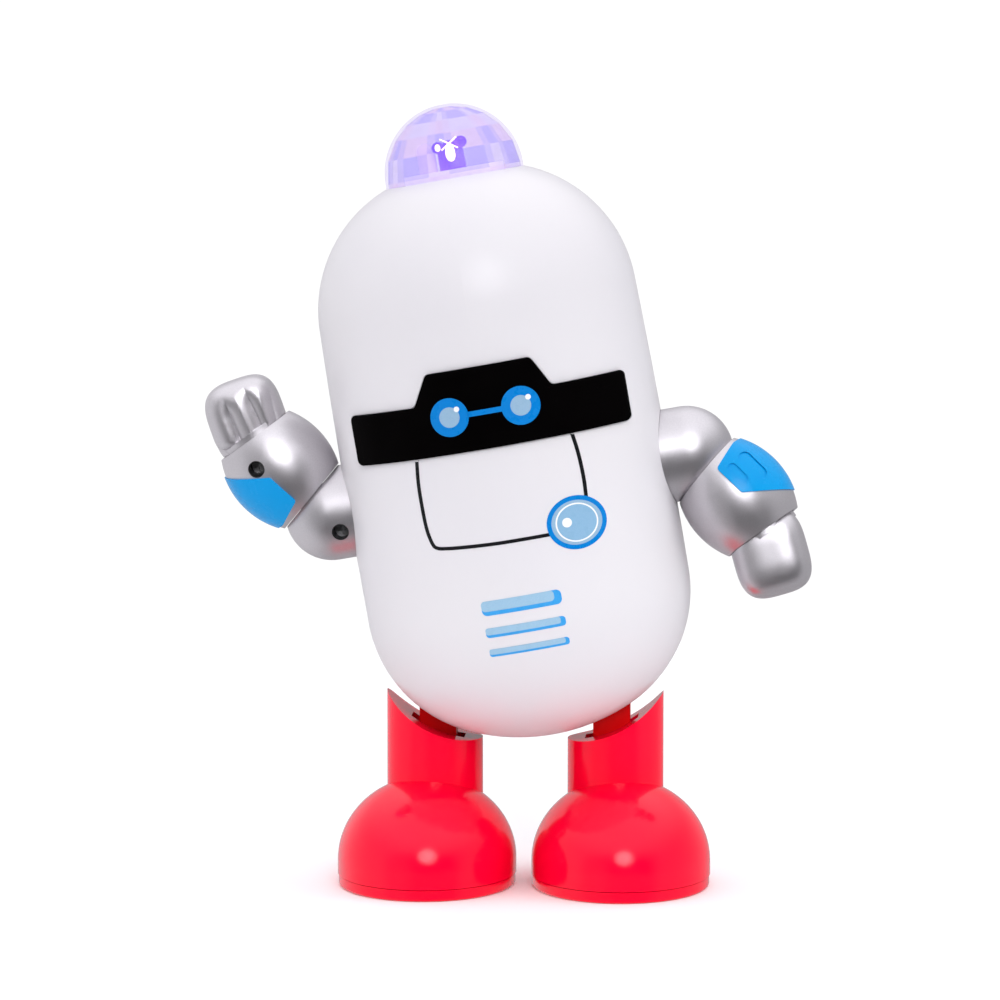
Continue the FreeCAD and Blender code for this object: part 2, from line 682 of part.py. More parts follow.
def leg(side):
    x0, x1 = LEG_X - LEG_W / 2, LEG_X + LEG_W / 2
    blade = block(x0, x1, -LEG_T / 2, LEG_T / 2, LEG_FOOT_Z + LEG_W / 2, BRIDGE_LOW)
    toe = rod_y(LEG_W / 2, LEG_X, LEG_FOOT_Z + LEG_W / 2, -LEG_T / 2, LEG_T / 2)
    lug = block(x0, x1, SWING_BACK, LEG_T / 2, BRIDGE_LOW, BRIDGE_HIGH)
    body = joined(blade, toe, lug)
    body = body.cut(rod_y(PIN_R + RUN_GAP, LEG_X, ANKLE_Z, -10, 10))
    if side < 0:
        body = body.mirror(O, X)
    for x, z in leg_screw_places():
        body = body.cut(rod_y(SCREW_R, x, z, -6, 6))
    return body


def leg_screws():
    return Part.makeCompound([screw(V(x, LEG_T / 2 - 0.3, z), V(x, SWING_FRONT - HEAD_T, z))
                              for x, z in leg_screw_places()])


# ---------------------------------------------------------------- boots
def stretched(shape, half_width):
    """Stretches a round form along y to the foot's length and sets it in the foot's place."""
    stretch = FreeCAD.Matrix()
    stretch.scale(V(1, (FOOT_HALF_L - FOOT_HALF_W + half_width) / half_width, 1))
    placed = shape.transformGeometry(stretch)
    placed.translate(V(FOOT_X, FOOT_Y, 0))
    return placed


def foot_form(shrink, floor):
    """The foot: a half ellipsoid on a short straight band, from a floor height up."""
    half = FOOT_HALF_W - shrink
    high = FOOT_DOME_H - shrink
    squash = FreeCAD.Matrix()
    squash.scale(V(1, 1, high / half))
    dome = Part.makeSphere(half, O, Z, 0, 90, 360).transformGeometry(squash)
    dome.translate(V(0, 0, FOOT_WIDE_Z))
    band = rod(half, V(0, 0, floor), V(0, 0, FOOT_WIDE_Z))
    return stretched(dome, half).fuse(stretched(band, half))


def rim_cylinder(radius):
    return rod(radius, V(RIM_CUT_X, -60, RIM_CUT_Z), V(RIM_CUT_X, 60, RIM_CUT_Z))


def boot_screw_places():
    return [(FOOT_X, y) for y in SOLE_SCREW_Y]


def boot_right():
    """The right boot, hollow from below: a domed foot, a round shaft and a slot for the leg."""
    floor = SOLE_T + SOLE_GAP
    foot = foot_form(0, floor)
    shaft = rod(BOOT_R, V(BOOT_X, 0, 15), V(BOOT_X, 0, 70)).cut(rim_cylinder(RIM_CUT_R))
    outer = foot.fuse(shaft)
    bore = rod(BOOT_R - BOOT_WALL, V(BOOT_X, 0, 15), V(BOOT_X, 0, 70))
    bore = bore.cut(rim_cylinder(RIM_CUT_R + BOOT_WALL))
    body = outer.cut(foot_form(BOOT_WALL, floor - 1)).cut(bore)
    pin_z = PIVOT_Z + ANKLE_Z
    lug_y = LEG_T / 2 + 0.6
    for y0, y1 in ((-12.0, -lug_y), (lug_y, 12.0)):
        lug = block(LEG_X - 5, LEG_X + 5, y0, y1, pin_z - 5, pin_z + 12)
        body = body.fuse(lug.common(outer))
    for x, y in boot_screw_places():
        body = body.fuse(rod(3.0, V(x, y, floor), V(x, y, 40)).common(foot))
        body = body.cut(rod(SCREW_R + SCREW_FIT, V(x, y, 0), V(x, y, 12)))
    half = LEG_W / 2 + ANKLE_SLOT
    body = body.cut(block(LEG_X - half, LEG_X + half, -lug_y + 0.1, lug_y - 0.1, 30, 70))
    return body.cut(rod_y(PIN_R, LEG_X, pin_z, -9.5, 9.5))


def oval(half, z0, z1):
    """A disc in the foot's plan."""
    return stretched(rod(half, V(0, 0, z0), V(0, 0, z1)), half)


def sole_right():
    """A flat sole with a rounded lower edge, a locating rim, and two sunk screw holes."""
    half = FOOT_HALF_W - 0.25
    flat = half - SOLE_ROUND
    step = SOLE_ROUND * (1 - math.sqrt(0.5))
    bend = Part.Arc(V(flat, 0, 0), V(half - step, 0, step), V(half, 0, SOLE_ROUND)).toShape()
    corners = [V(half, 0, SOLE_ROUND), V(half, 0, SOLE_T), V(0, 0, SOLE_T), V(0, 0, -1), V(flat, 0, -1), V(flat, 0, 0)]
    edges = [bend] + [Part.makeLine(a, b) for a, b in zip(corners, corners[1:])]
    plate = stretched(Part.Face(Part.Wire(edges)).revolve(O, Z, 360), half)
    plate = plate.common(block(-FOOT_X, 3 * FOOT_X, -60, 60, 0, SOLE_T))
    lip = oval(FOOT_HALF_W - BOOT_WALL - 0.5, SOLE_T - 0.5, SOLE_T + 1.5)
    lip = lip.cut(oval(FOOT_HALF_W - BOOT_WALL - 2.0, SOLE_T, 9))
    body = plate.fuse(lip)
    for x, y in boot_screw_places():
        body = body.cut(rod(SCREW_R + 0.2, V(x, y, -1), V(x, y, 9)))
        body = body.cut(rod(WELL_R, V(x, y, -1), V(x, y, HEAD_T + 0.2)))
        body = body.cut(rod(3.2, V(x, y, SOLE_T), V(x, y, 9)))
    return body


def sole_screws():
    return Part.makeCompound([screw(V(x, y, 11), V(x, y, 0.2)) for x, y in boot_screw_places()])


def ankle_pin_in_boot():
    return rod_y(PIN_R, LEG_X, PIVOT_Z + ANKLE_Z, -9.0, 9.0)


# ---------------------------------------------------------------- arms
def shoulder_form(shrink):
    """The shoulder's round end, shrunk inwards: a short cylinder run into a ball."""
    radius = SHOULDER_R - shrink
    ball = Part.makeSphere(radius, V(BALL_X, 0, 0)).common(block(BALL_X, 40, -40, 40, -40, 40))
    return joined(rod(radius, V(shrink, 0, 0), V(BALL_X, 0, 0)), ball)


def barrel(grow):
    """The forearm's outer form, grown by grow: an arc turned about the line from elbow to wrist."""
    line = WRIST.sub(ELBOW)
    length = line.Length
    sag = BARREL_MID_R - BARREL_END_R
    arc_r = (length * length / 4 + sag * sag) / (2 * sag)
    reach = length / 2 + 7.0

    def radius_at(off_mid):
        return BARREL_MID_R - arc_r + math.sqrt(arc_r * arc_r - off_mid * off_mid) + grow

    mid = length / 2
    low = V(radius_at(reach), 0, mid - reach)
    high = V(radius_at(reach), 0, mid + reach)
    curve = Part.Arc(low, V(radius_at(0), 0, mid), high).toShape()
    edges = [curve, Part.makeLine(high, V(0, 0, high.z)), Part.makeLine(V(0, 0, high.z), V(0, 0, low.z)),
             Part.makeLine(V(0, 0, low.z), low)]
    form = Part.Face(Part.Wire(edges)).revolve(O, Z, 360)
    way = V(line.x, 0, line.z).normalize()
    out = V(-way.z, 0, way.x)
    form.Placement = FreeCAD.Placement(ELBOW.add(out * BARREL_SHIFT), FreeCAD.Rotation(Z, way))
    return form


def arm_well(body, outer, at):
    """Adds a screw post through an arm section, with its well opening at the back."""
    x, z = at
    body = joined(body, rod_y(ARM_POST_R, x, z, -40, 40).common(outer))
    body = body.cut(rod_y(SCREW_R + SCREW_FIT, x, z, -8, 20))
    return body.cut(rod_y(ARM_WELL_R, x, z, 3.0, 40))


def upper_arm():
    outer = shoulder_form(0).cut(beyond(ELBOW, ELBOW_AXIS))
    hollow = shoulder_form(ARM_WALL).cut(beyond(ELBOW.sub(ELBOW_AXIS * ARM_WALL), ELBOW_AXIS))
    flange_out = PAD_X - NECK_GAP - SHOULDER_X
    neck = rod(NECK_R, V(flange_out - 2.0, 0, 0), V(2.0, 0, 0))
    flange = rod(NECK_FLANGE_R, V(flange_out - 2.0, 0, 0), V(flange_out, 0, 0))
    reach = JOIN_GAP + ARM_WALL + NECK_GAP
    elbow_end = ELBOW.add(ELBOW_AXIS * (reach + ELBOW_FLANGE_T))
    elbow_neck = rod(SMALL_NECK_R, ELBOW.sub(ELBOW_AXIS), elbow_end)
    elbow_flange = rod(SMALL_FLANGE_R, ELBOW.add(ELBOW_AXIS * reach), elbow_end)
    body = joined(outer.cut(hollow), neck, flange, elbow_neck, elbow_flange)
    return arm_well(body, outer, ARM_SCREWS[0])


def panel_form():
    """The outline of the coloured panel, as a block that runs right through the forearm."""
    return round_upright(prism_y(PANEL_OUTLINE, -30, 30), 1.0)


def forearm():
    start = ELBOW.add(ELBOW_AXIS * JOIN_GAP)
    outer = barrel(0).common(beyond(start, ELBOW_AXIS)).cut(beyond(WRIST, WRIST_AXIS))
    inner_end = WRIST.sub(WRIST_AXIS * (LIP + ARM_WALL))
    hollow = barrel(-ARM_WALL).common(beyond(start.add(ELBOW_AXIS * ARM_WALL), ELBOW_AXIS))
    hollow = hollow.cut(beyond(inner_end, WRIST_AXIS))
    body = arm_well(outer.cut(hollow), outer, ARM_SCREWS[1])
    body = body.cut(rod(SMALL_NECK_R + RUN_GAP, ELBOW, ELBOW.add(ELBOW_AXIS * 3)))
    body = body.cut(rod(SMALL_NECK_R + RUN_GAP, WRIST.sub(WRIST_AXIS * 4), WRIST))
    body = body.cut(rod(BARREL_END_R - 1.2, WRIST.sub(WRIST_AXIS * LIP), WRIST.add(WRIST_AXIS * 3)))
    return body.cut(panel_form().cut(barrel(-PANEL_DEEP)))


def stadium(mid, length, width, slope):
    """A slot outline in the x-z plane, extruded along y."""
    half = (length - width) / 2
    way = (math.cos(slope), math.sin(slope))
    ends = [(mid[0] + s * half * way[0], mid[1] + s * half * way[1]) for s in (-1, 1)]
    across = (-way[1] * width / 2, way[0] * width / 2)
    quad = [(ends[0][0] + across[0], ends[0][1] + across[1]), (ends[1][0] + across[0], ends[1][1] + across[1]),
            (ends[1][0] - across[0], ends[1][1] - across[1]), (ends[0][0] - across[0], ends[0][1] - across[1])]
    return joined(prism_y(quad, -40, 0), *[rod_y(width / 2, e[0], e[1], -40, 0) for e in ends])


def forearm_panel():
    body = panel_form().common(barrel(PANEL_PROUD)).cut(barrel(-PANEL_DEEP + 0.05))
    body = body.common(beyond(ELBOW.add(ELBOW_AXIS * 0.6), ELBOW_AXIS))
    for mid, length, width in (((20.8, -8.6), 6.6, 2.6), ((25.0, -7.0), 9.2, 3.4)):
        sunk = stadium(mid, length, width, math.radians(-54)).cut(barrel(PANEL_PROUD - 0.35))
        body = body.cut(sunk)
    return body


def fist():
    """The hand: a rounded block, three curled fingers on its rear side, and a neck held in the forearm."""
    high = 24.0
    block_form = Part.makeBox(FIST_W, FIST_DEEP, high, V(-FIST_W / 2, -FIST_DEEP / 2 - 0.6, -high / 2))
    block_form = block_form.makeFillet(FIST_ROUND, block_form.Edges)
    fingers = []
    for n in (-1, 0, 1):
        low = V(n * 6.1, FIST_DEEP / 2 - 2.6, -high / 2 + 3.6)
        top = V(n * 6.1, FIST_DEEP / 2 - 2.6, high / 2 - 7.0 - 1.5 * n)
        tips = [Part.makeSphere(FINGER_R, end) for end in (low, top)]
        fingers.append(joined(rod(FINGER_R, low, top), *tips))
    body = joined(block_form, *fingers)
    body.Placement = FreeCAD.Placement(FIST_MID, FreeCAD.Rotation(Y, -FIST_LEAN))
    body = body.common(beyond(WRIST.add(WRIST_AXIS * JOIN_GAP), WRIST_AXIS))
    back = WRIST.sub(WRIST_AXIS * (LIP - JOIN_GAP))
    root = rod(BARREL_END_R - 1.2 - 0.3, back, WRIST.add(WRIST_AXIS * 1.5))
    inner = LIP + ARM_WALL + NECK_GAP
    neck_end = WRIST.sub(WRIST_AXIS * (inner + WRIST_FLANGE_T))
    neck = rod(SMALL_NECK_R, neck_end, WRIST)
    flange = rod(SMALL_FLANGE_R, neck_end, WRIST.sub(WRIST_AXIS * inner))
    return joined(body, root, neck, flange)


def arm_screw(at):
    x, z = at
    return screw(V(x, -6.0, z), V(x, 3.0 + HEAD_T, z), head_r=2.1)


def arm_parts():
    """Every piece of one arm in the arm frame, hanging, for the robot's +X side."""
    top = upper_arm()
    low = forearm()
    return {
        "upper_arm_front": front_of(top),
        "upper_arm_back": back_of(top),
        "forearm_front": front_of(low),
        "forearm_back": back_of(low),
        "forearm_panel": forearm_panel(),
        "fist": fist(),
        "upper_arm_screw": arm_screw(ARM_SCREWS[0]),
        "forearm_screw": arm_screw(ARM_SCREWS[1]),
    }


# ---------------------------------------------------------------- assembly
def into_row(shape):
    """From the body frame into the row frame."""
    placed = shape.copy()
    placed.rotate(O, Y, -TILT)
    placed.translate(V(STAND_X, STAND_Y, PIVOT_Z))
    return placed


def stand(shape, lift=PIVOT_Z):
    """From the legs' upright frame into the row frame."""
    placed = shape.copy()
    placed.translate(V(STAND_X, STAND_Y, lift))
    return placed


def arm_into_body(shape, side):
    """Right arm: swung a little forwards. Left arm: its mirror copy, turned forwards and up."""
    placed = shape.copy() if side > 0 else shape.mirror(O, X)
    placed.rotate(O, X, -ARM_SWUNG if side > 0 else -ARM_RAISED)
    placed.translate(V(side * SHOULDER_X, 0, SHOULDER_Z))
    return placed


def body_screws():
    """The screws that join the shells, and the two that hold the lamp plate under them."""
    return Part.makeCompound([screw(V(x, -7.0, z), V(x, 6.0 + HEAD_T, z)) for x, z in BOSSES] + lamp_screws())


def door_screw():
    z = BOX_HIGH - 8.0
    return screw(V(0, 38.6, z), V(0, 43.1, z))


def build():
    """All nodes, each placed in the row frame."""
    whole = body_shell()
    in_body = {
        "front_body_shell": front_body_shell(whole),
        "rear_body_shell": rear_body_shell(whole),
        "face_visor": face_visor(),
        "dome_lens": dome_lens(),
        "lamp_reflector": lamp_reflector(),
        "led_board": led_board(),
        "violet_led": led(*led_places()[0]),
        "clear_led": led(*led_places()[1]),
        "body_screws": body_screws(),
        "battery_door": battery_door(),
        "battery_door_screw": door_screw(),
        "battery_box": battery_box(),
        "battery_cells": battery_cells(),
        "battery_contacts": battery_contacts(),
        "power_switch_body": power_switch_body(),
        "power_switch_knob": power_switch_knob(),
        "speaker": speaker(),
        "speaker_cradle": speaker_cradle(),
        "main_circuit_board": main_circuit_board(),
        "gearbox_front": gearbox_front(),
        "gearbox_back": gearbox_back(),
        "gearbox_screws": gearbox_screws(),
        "motor": motor(),
        "motor_shaft": motor_shaft(),
        "motor_pinion": motor_pinion(),
        "first_gear": first_gear(),
        "second_gear": second_gear(),
        "gear_axles": Part.makeCompound([gear_axle(FIRST_AT), gear_axle(SECOND_AT)]),
        "crank_gear": crank_gear(),
        "crank_shaft": crank_shaft(),
        "crank_disc": crank_disc(),
        "sway_pin": sway_pin(),
    }
    nodes = {name: into_row(shape) for name, shape in in_body.items()}
    for side, word in ((-1, "left"), (1, "right")):
        for name, shape in arm_parts().items():
            nodes[name + "_" + word] = into_row(arm_into_body(shape, side))
        for name, shape in (("boot", boot_right()), ("sole", sole_right()), ("ankle_pin", ankle_pin_in_boot()),
                            ("sole_screws", sole_screws())):
            mirrored = shape if side > 0 else shape.mirror(O, X)
            nodes[name + "_" + word] = stand(mirrored, 0)
        nodes["leg_" + word] = stand(leg(side))
    nodes["swing_yoke"] = stand(swing_yoke())
    nodes["leg_screws"] = stand(leg_screws())
    return nodes


def main():
    os.makedirs("parts", exist_ok=True)
    for name, shape in build().items():
        shape.exportStep("parts/" + name + ".step")


main()
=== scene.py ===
import json
import math

import bmesh
import bpy
from mathutils import Matrix, Vector
from mathutils.bvhtree import BVHTree


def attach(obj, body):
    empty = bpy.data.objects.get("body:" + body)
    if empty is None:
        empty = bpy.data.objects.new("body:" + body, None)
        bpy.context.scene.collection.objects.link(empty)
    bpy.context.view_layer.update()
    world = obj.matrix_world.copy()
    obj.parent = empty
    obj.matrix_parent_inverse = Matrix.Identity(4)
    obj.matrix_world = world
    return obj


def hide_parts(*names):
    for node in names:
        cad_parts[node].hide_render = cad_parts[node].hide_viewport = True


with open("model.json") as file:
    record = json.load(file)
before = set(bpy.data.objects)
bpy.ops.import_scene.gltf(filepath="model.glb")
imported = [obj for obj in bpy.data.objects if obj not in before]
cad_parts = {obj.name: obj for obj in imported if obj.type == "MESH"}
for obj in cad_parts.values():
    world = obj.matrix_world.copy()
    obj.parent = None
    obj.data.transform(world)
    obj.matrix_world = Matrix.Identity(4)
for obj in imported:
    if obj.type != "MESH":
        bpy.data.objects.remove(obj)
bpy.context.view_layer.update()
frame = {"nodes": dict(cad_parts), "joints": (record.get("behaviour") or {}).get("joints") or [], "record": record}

# The toy robot's finishes, its printed face and chest, the faceted dome and the glow of its lamp with painted
# glints of that light in the facets, its fists, dark sleeves of painted shade in the arms' screw wells, and the
# studio.
# The body frame is the one that the capsule body was built in: its origin is at the sway pin, z runs up the
# body's axis and -y is the front. Sizes in it are written in millimetres.
MM = 0.001
BODY_LEAN = math.radians(10.0)
SWAY = next(joint for joint in frame["joints"] if joint["name"] == "body_sway")
BODY = Matrix.Translation((SWAY["pos_m"][0], 0.0, SWAY["pos_m"][2])) @ Matrix.Rotation(-BODY_LEAN, 4, "Y")


# ---------------------------------------------------------------- materials
class Finish:
    """One procedural material, with short calls for the nodes that it is made of."""

    def __init__(self, name, **sockets):
        self.material = bpy.data.materials.new(name)
        self.material.use_nodes = True
        self.tree = self.material.node_tree
        self.shader = self.tree.nodes["Principled BSDF"]
        self.place = self.tree.nodes.new("ShaderNodeTexCoord").outputs["Object"]
        for socket, value in sockets.items():
            self.shader.inputs[socket.replace("_", " ")].default_value = value

    def add(self, kind, links=(), **settings):
        """A node, with its settings, its plain input values and its linked inputs."""
        node = self.tree.nodes.new(kind)
        for key, value in settings.items():
            setattr(node, key, value)
        for socket, value in links:
            self.put(node.inputs[socket], value)
        return node

    def put(self, socket, value):
        if isinstance(value, bpy.types.NodeSocket):
            self.tree.links.new(value, socket)
        else:
            socket.default_value = value

    def in_body(self, stretch=(1.0, 1.0, 1.0)):
        """Places in the body frame, in metres, stretched along its axes."""
        inverse = BODY.inverted()
        turned = self.add("ShaderNodeMapping", [("Vector", self.place), ("Rotation", inverse.to_euler()),
                                                ("Location", inverse.to_translation())])
        return self.add("ShaderNodeMapping", [("Vector", turned.outputs[0]), ("Scale", stretch)]).outputs[0]

    def noise(self, size, detail=2.0, roughness=0.5, place=None):
        """Noise whose patches are about size millimetres across."""
        node = self.add("ShaderNodeTexNoise", [("Vector", place or self.place), ("Scale", 1.0 / (size * MM)),
                                               ("Detail", detail), ("Roughness", roughness)])
        return node.outputs["Fac"]

    def cells(self, size, feature="F1", output="Color", place=None):
        links = [("Vector", place or self.place), ("Scale", 1.0 / (size * MM))]
        node = self.add("ShaderNodeTexVoronoi", links, feature=feature)
        return node.outputs[output]

    def fit(self, value, low, high, new_low, new_high):
        """Maps value from low..high to new_low..new_high, held at the ends."""
        node = self.add("ShaderNodeMapRange", [("Value", value), ("From Min", low), ("From Max", high),
                                               ("To Min", new_low), ("To Max", new_high)])
        return node.outputs[0]

    def mix(self, factor, first, second):
        node = self.add("ShaderNodeMix", data_type="RGBA")
        self.put(node.inputs["Factor"], factor)
        for socket, colour in ((node.inputs[6], first), (node.inputs[7], second)):
            self.put(socket, colour if isinstance(colour, bpy.types.NodeSocket) else (*colour, 1.0))
        return node.outputs[2]

    def larger(self, first, second):
        node = self.add("ShaderNodeMath", operation="MAXIMUM")
        self.put(node.inputs[0], first)
        self.put(node.inputs[1], second)
        return node.outputs[0]

    def colour(self, value):
        self.put(self.shader.inputs["Base Color"], value)
        return self

    def rough(self, value):
        self.put(self.shader.inputs["Roughness"], value)
        return self

    def bump(self, *layers):
        """Heights laid on one another, each with its depth in millimetres."""
        normal = None
        for height, depth in layers:
            links = [("Height", height), ("Distance", depth * MM), ("Strength", 1.0)]
            node = self.add("ShaderNodeBump", links)
            if normal:
                self.put(node.inputs["Normal"], normal)
            normal = node.outputs[0]
        self.put(self.shader.inputs["Normal"], normal)
        return self


def gloss_plastic(name, colour, faded, roughness, **sockets):
    """Moulded gloss plastic: a slow drift of colour, faint flow marks, handling haze, an orange-peel skin."""
    made = Finish(name, **sockets)
    drift = made.fit(made.noise(22.0, 3.0), 0.35, 0.7, 0.0, 1.0)
    fleck = made.fit(made.noise(0.6, 3.0, 0.7), 0.3, 0.75, 0.0, 0.35)
    made.colour(made.mix(made.larger(drift, fleck), colour, faded))
    haze = made.fit(made.noise(6.0, 5.0, 0.65), 0.4, 0.75, roughness, roughness * 1.35)
    made.rough(haze)
    return made.bump((made.noise(2.4, 1.0), 0.006), (made.noise(0.5, 2.0), 0.0015))


def white_shell():
    """White gloss plastic: a faint drift of tone, broad aged patches, and a skin that is nearly smooth."""
    made = Finish("white_body_plastic", Specular_IOR_Level=0.25, IOR=1.5)
    drift = made.fit(made.noise(40.0, 2.0), 0.3, 0.7, 0.0, 1.0)
    clean = made.mix(drift, (0.725, 0.710, 0.737), (0.740, 0.725, 0.750))
    patch = made.fit(made.noise(38.0, 1.0), 0.30, 0.80, 0.0, 0.30)
    made.colour(made.mix(patch, clean, (0.750, 0.727, 0.722)))
    made.rough(made.fit(made.noise(14.0, 1.0), 0.2, 0.8, 0.28, 0.33))
    return made.bump((made.noise(6.0, 1.0), 0.0015), (made.noise(0.7, 1.0), 0.0004))


def silver_paint():
    """Sprayed silver: fine metal flakes, soft clouds of tone, and a slightly uneven sheen."""
    made = Finish("silver_metallic_paint", Metallic=0.92)
    sparkle = made.mix(made.cells(0.16), (0.600, 0.580, 0.605), (0.690, 0.668, 0.695))
    cloud = made.fit(made.noise(5.0, 4.0), 0.35, 0.7, 0.0, 0.35)
    made.colour(made.mix(cloud, sparkle, (0.64, 0.615, 0.64)))
    made.rough(made.fit(made.noise(3.0, 4.0, 0.6), 0.3, 0.75, 0.38, 0.44))
    return made.bump((made.noise(0.9, 2.0), 0.004), (made.cells(0.16), 0.0016),
                     (made.noise(0.12, 1.0), 0.0010))


def visor_black():
    """Deep black gloss with a little dust on it."""
    made = Finish("visor_gloss_black", Specular_IOR_Level=0.008)
    dust = made.fit(made.noise(0.35, 3.0, 0.8), 0.74, 0.84, 0.0, 0.12)
    tone = made.mix(made.noise(12.0, 2.0), (0.0008, 0.0006, 0.0006), (0.0020, 0.0016, 0.0018))
    made.colour(made.mix(dust, tone, (0.03, 0.03, 0.032)))
    made.rough(made.fit(made.noise(4.0, 5.0, 0.6), 0.35, 0.75, 0.16, 0.24))
    return made.bump((made.noise(2.0, 1.0), 0.004), (made.noise(0.4, 2.0), 0.0008))


def moulded(name, dark, light, roughness):
    """Satin moulded plastic with a fine spark-eroded grain."""
    made = Finish(name)
    made.colour(made.mix(made.noise(0.8, 4.0, 0.7), dark, light))
    made.rough(made.fit(made.noise(2.0, 3.0), 0.3, 0.7, roughness, roughness + 0.12))
    return made.bump((made.cells(0.35, output="Distance"), 0.006), (made.noise(0.25, 3.0), 0.004))


def bare_metal(name, dark, light, roughness):
    """Turned metal: fine lines along the body's depth, with a mottled sheen."""
    made = Finish(name, Metallic=1.0)
    lines = made.noise(0.5, 4.0, 0.7, place=made.in_body((1.0, 12.0, 1.0)))
    made.colour(made.mix(lines, dark, light))
    made.rough(made.fit(made.noise(1.5, 4.0, 0.6), 0.3, 0.7, roughness, roughness + 0.15))
    return made.bump((lines, 0.003))


def gear_acetal():
    """Cream-white acetal, a little waxy."""
    made = Finish("gear_acetal", Subsurface_Weight=0.15, Subsurface_Scale=0.001)
    made.colour(made.mix(made.noise(1.6, 3.0), (0.72, 0.70, 0.62), (0.80, 0.79, 0.73)))
    made.rough(made.fit(made.noise(0.8, 3.0), 0.3, 0.7, 0.30, 0.42))
    return made.bump((made.noise(0.4, 2.0), 0.003))


def solder_mask():
    """Green board: copper tracks under the mask, seen as a paler maze, and tinned pads."""
    made = Finish("board_solder_mask", Coat_Weight=0.4, Coat_Roughness=0.15)
    maze = made.fit(made.cells(1.8, "DISTANCE_TO_EDGE", "Distance", made.in_body()), 0.02, 0.05, 1.0, 0.0)
    tracks = made.mix(maze, (0.004, 0.085, 0.022), (0.015, 0.20, 0.055))
    pads = made.fit(made.cells(2.6, "F1", "Distance", made.in_body()), 0.12, 0.15, 1.0, 0.0)
    made.colour(made.mix(pads, tracks, (0.62, 0.60, 0.55)))
    made.rough(made.fit(made.noise(1.0, 3.0), 0.3, 0.7, 0.28, 0.40))
    return made.bump((maze, 0.02), (pads, 0.02))


def cell_wrap():
    """Battery cells: a zinc-coloured wrap with a dark band and fine foil creases."""
    made = Finish("battery_cell_wrap", Metallic=0.55)
    links = [("Vector", made.in_body()), ("Scale", 16.0), ("Distortion", 0.2)]
    bands = made.add("ShaderNodeTexWave", links, bands_direction="Z").outputs["Fac"]
    wrap = made.mix(made.fit(bands, 0.48, 0.52, 0.0, 1.0), (0.055, 0.06, 0.07), (0.62, 0.56, 0.40))
    made.colour(made.mix(made.fit(made.noise(0.9, 4.0), 0.55, 0.8, 0.0, 0.4), wrap, (0.30, 0.29, 0.27)))
    made.rough(made.fit(made.noise(1.5, 3.0), 0.3, 0.7, 0.24, 0.40))
    return made.bump((made.noise(0.8, 3.0), 0.01))


def ink(name, colour, worn):
    """Pad-printed ink: a screen-like speckle and a skin a little duller than the plastic under it."""
    made = Finish(name, Specular_IOR_Level=0.15)
    speckle = made.fit(made.noise(0.30, 3.0, 0.75), 0.35, 0.75, 0.0, 1.0)
    made.colour(made.mix(speckle, colour, worn))
    made.rough(made.fit(made.noise(2.0, 4.0), 0.3, 0.7, 0.24, 0.34))
    return made.bump((made.noise(0.35, 2.0), 0.002))


CLEAR_ROUGH = 0.12
CLEAR_DRIFT = 0.02


def clear_plastic(name, tint, haze, clear, glow):
    """Thin clear styrene: most light goes straight through, the rest meets a glossy, milky skin. The skin also
    glows faintly in its haze colour, which is painted light for the lamp's light scattered in the plastic.
    """
    made = Finish(name)
    made.colour(made.mix(made.noise(3.5, 3.0), haze, [channel * 0.94 for channel in haze]))
    made.rough(made.fit(made.noise(2.5, 4.0), 0.3, 0.7, CLEAR_ROUGH, CLEAR_ROUGH * 1.6))
    made.bump((made.noise(1.8, 2.0), 0.006))
    # Painted light: the skin glows faintly in its haze colour, for the lamp's light scattered in the plastic.
    made.shader.inputs["Emission Color"].default_value = (*haze, 1.0)
    made.shader.inputs["Emission Strength"].default_value = glow
    through = made.add("ShaderNodeBsdfTransparent", [("Color", (*tint, 1.0))])
    share = made.fit(made.noise(4.0, 3.0), 0.3, 0.7, clear - CLEAR_DRIFT, clear + CLEAR_DRIFT)
    links = [(0, share), (1, made.shader.outputs[0]), (2, through.outputs[0])]
    whole = made.add("ShaderNodeMixShader", links)
    made.put(made.tree.nodes["Material Output"].inputs["Surface"], whole.outputs[0])
    return made


def violet_lamp():
    """The lit lamp's tinted epoxy: it glows violet, palest near its foot. The painted glint lobes beside the lamp
    glow with it.
    """
    made = Finish("violet_lamp_epoxy", Roughness=0.15)
    height = made.add("ShaderNodeSeparateXYZ", [("Vector", made.in_body())]).outputs[2]
    foot = made.fit(height, LED_FOOT * MM, LED_TOP * MM, 0.0, 1.0)
    glow = made.mix(foot, (0.36, 0.22, 1.00), (0.09, 0.0, 0.80))
    made.colour(made.mix(made.noise(2.0, 2.0), (0.12, 0.02, 0.80), (0.16, 0.04, 0.85)))
    made.put(made.shader.inputs["Emission Color"], glow)
    made.shader.inputs["Emission Strength"].default_value = VIOLET_GLOW
    return made


def lamp_core():
    """The lamp's bright core: white with a drift of pink. The painted glints of the spark and the cross glow with
    it too.
    """
    made = Finish("lamp_core_glow", Roughness=0.4)
    tone = made.mix(made.noise(0.8, 2.0), (1.0, 0.80, 0.95), (1.0, 0.93, 0.99))
    made.colour(tone)
    made.put(made.shader.inputs["Emission Color"], tone)
    made.shader.inputs["Emission Strength"].default_value = CORE_GLOW
    return made


# ---------------------------------------------------------------- prints, and where they lie (body frame, mm)
# A dial ring is its half width and half height, its lift and its ink. A stripe is the height of its middle,
# its thickness, how much of that is its darker lower edge, and how far short of it the pale part ends.
EYES = [(-9.3, 48.5), (9.6, 48.5)]
EYE_R = 5.08
EYE_CENTRE_R = 2.68
GLINT_OFF = (2.2, 1.85)
GLINT_R = 0.72
BRIDGE_W = 1.4
BRIDGE_SUNK = 0.3
BRIDGE_CORNER = 0.1
POCKET_W = 0.95
POCKET_LEFT = [(-20.1, 38.8), (-20.75, 32.9), (-20.9, 27.0), (-20.7, 20.4), (-19.8, 16.2), (-18.6, 14.95),
               (-16.0, 14.55), (-11.4, 14.25), (-3.6, 13.95), (4.1, 13.85), (11.6, 13.8)]
POCKET_RIGHT = [(21.2, 38.8), (21.8, 34.5), (22.1, 30.5), (22.2, 26.0), (22.0, 21.5)]
DIAL = (18.5, 15.6)
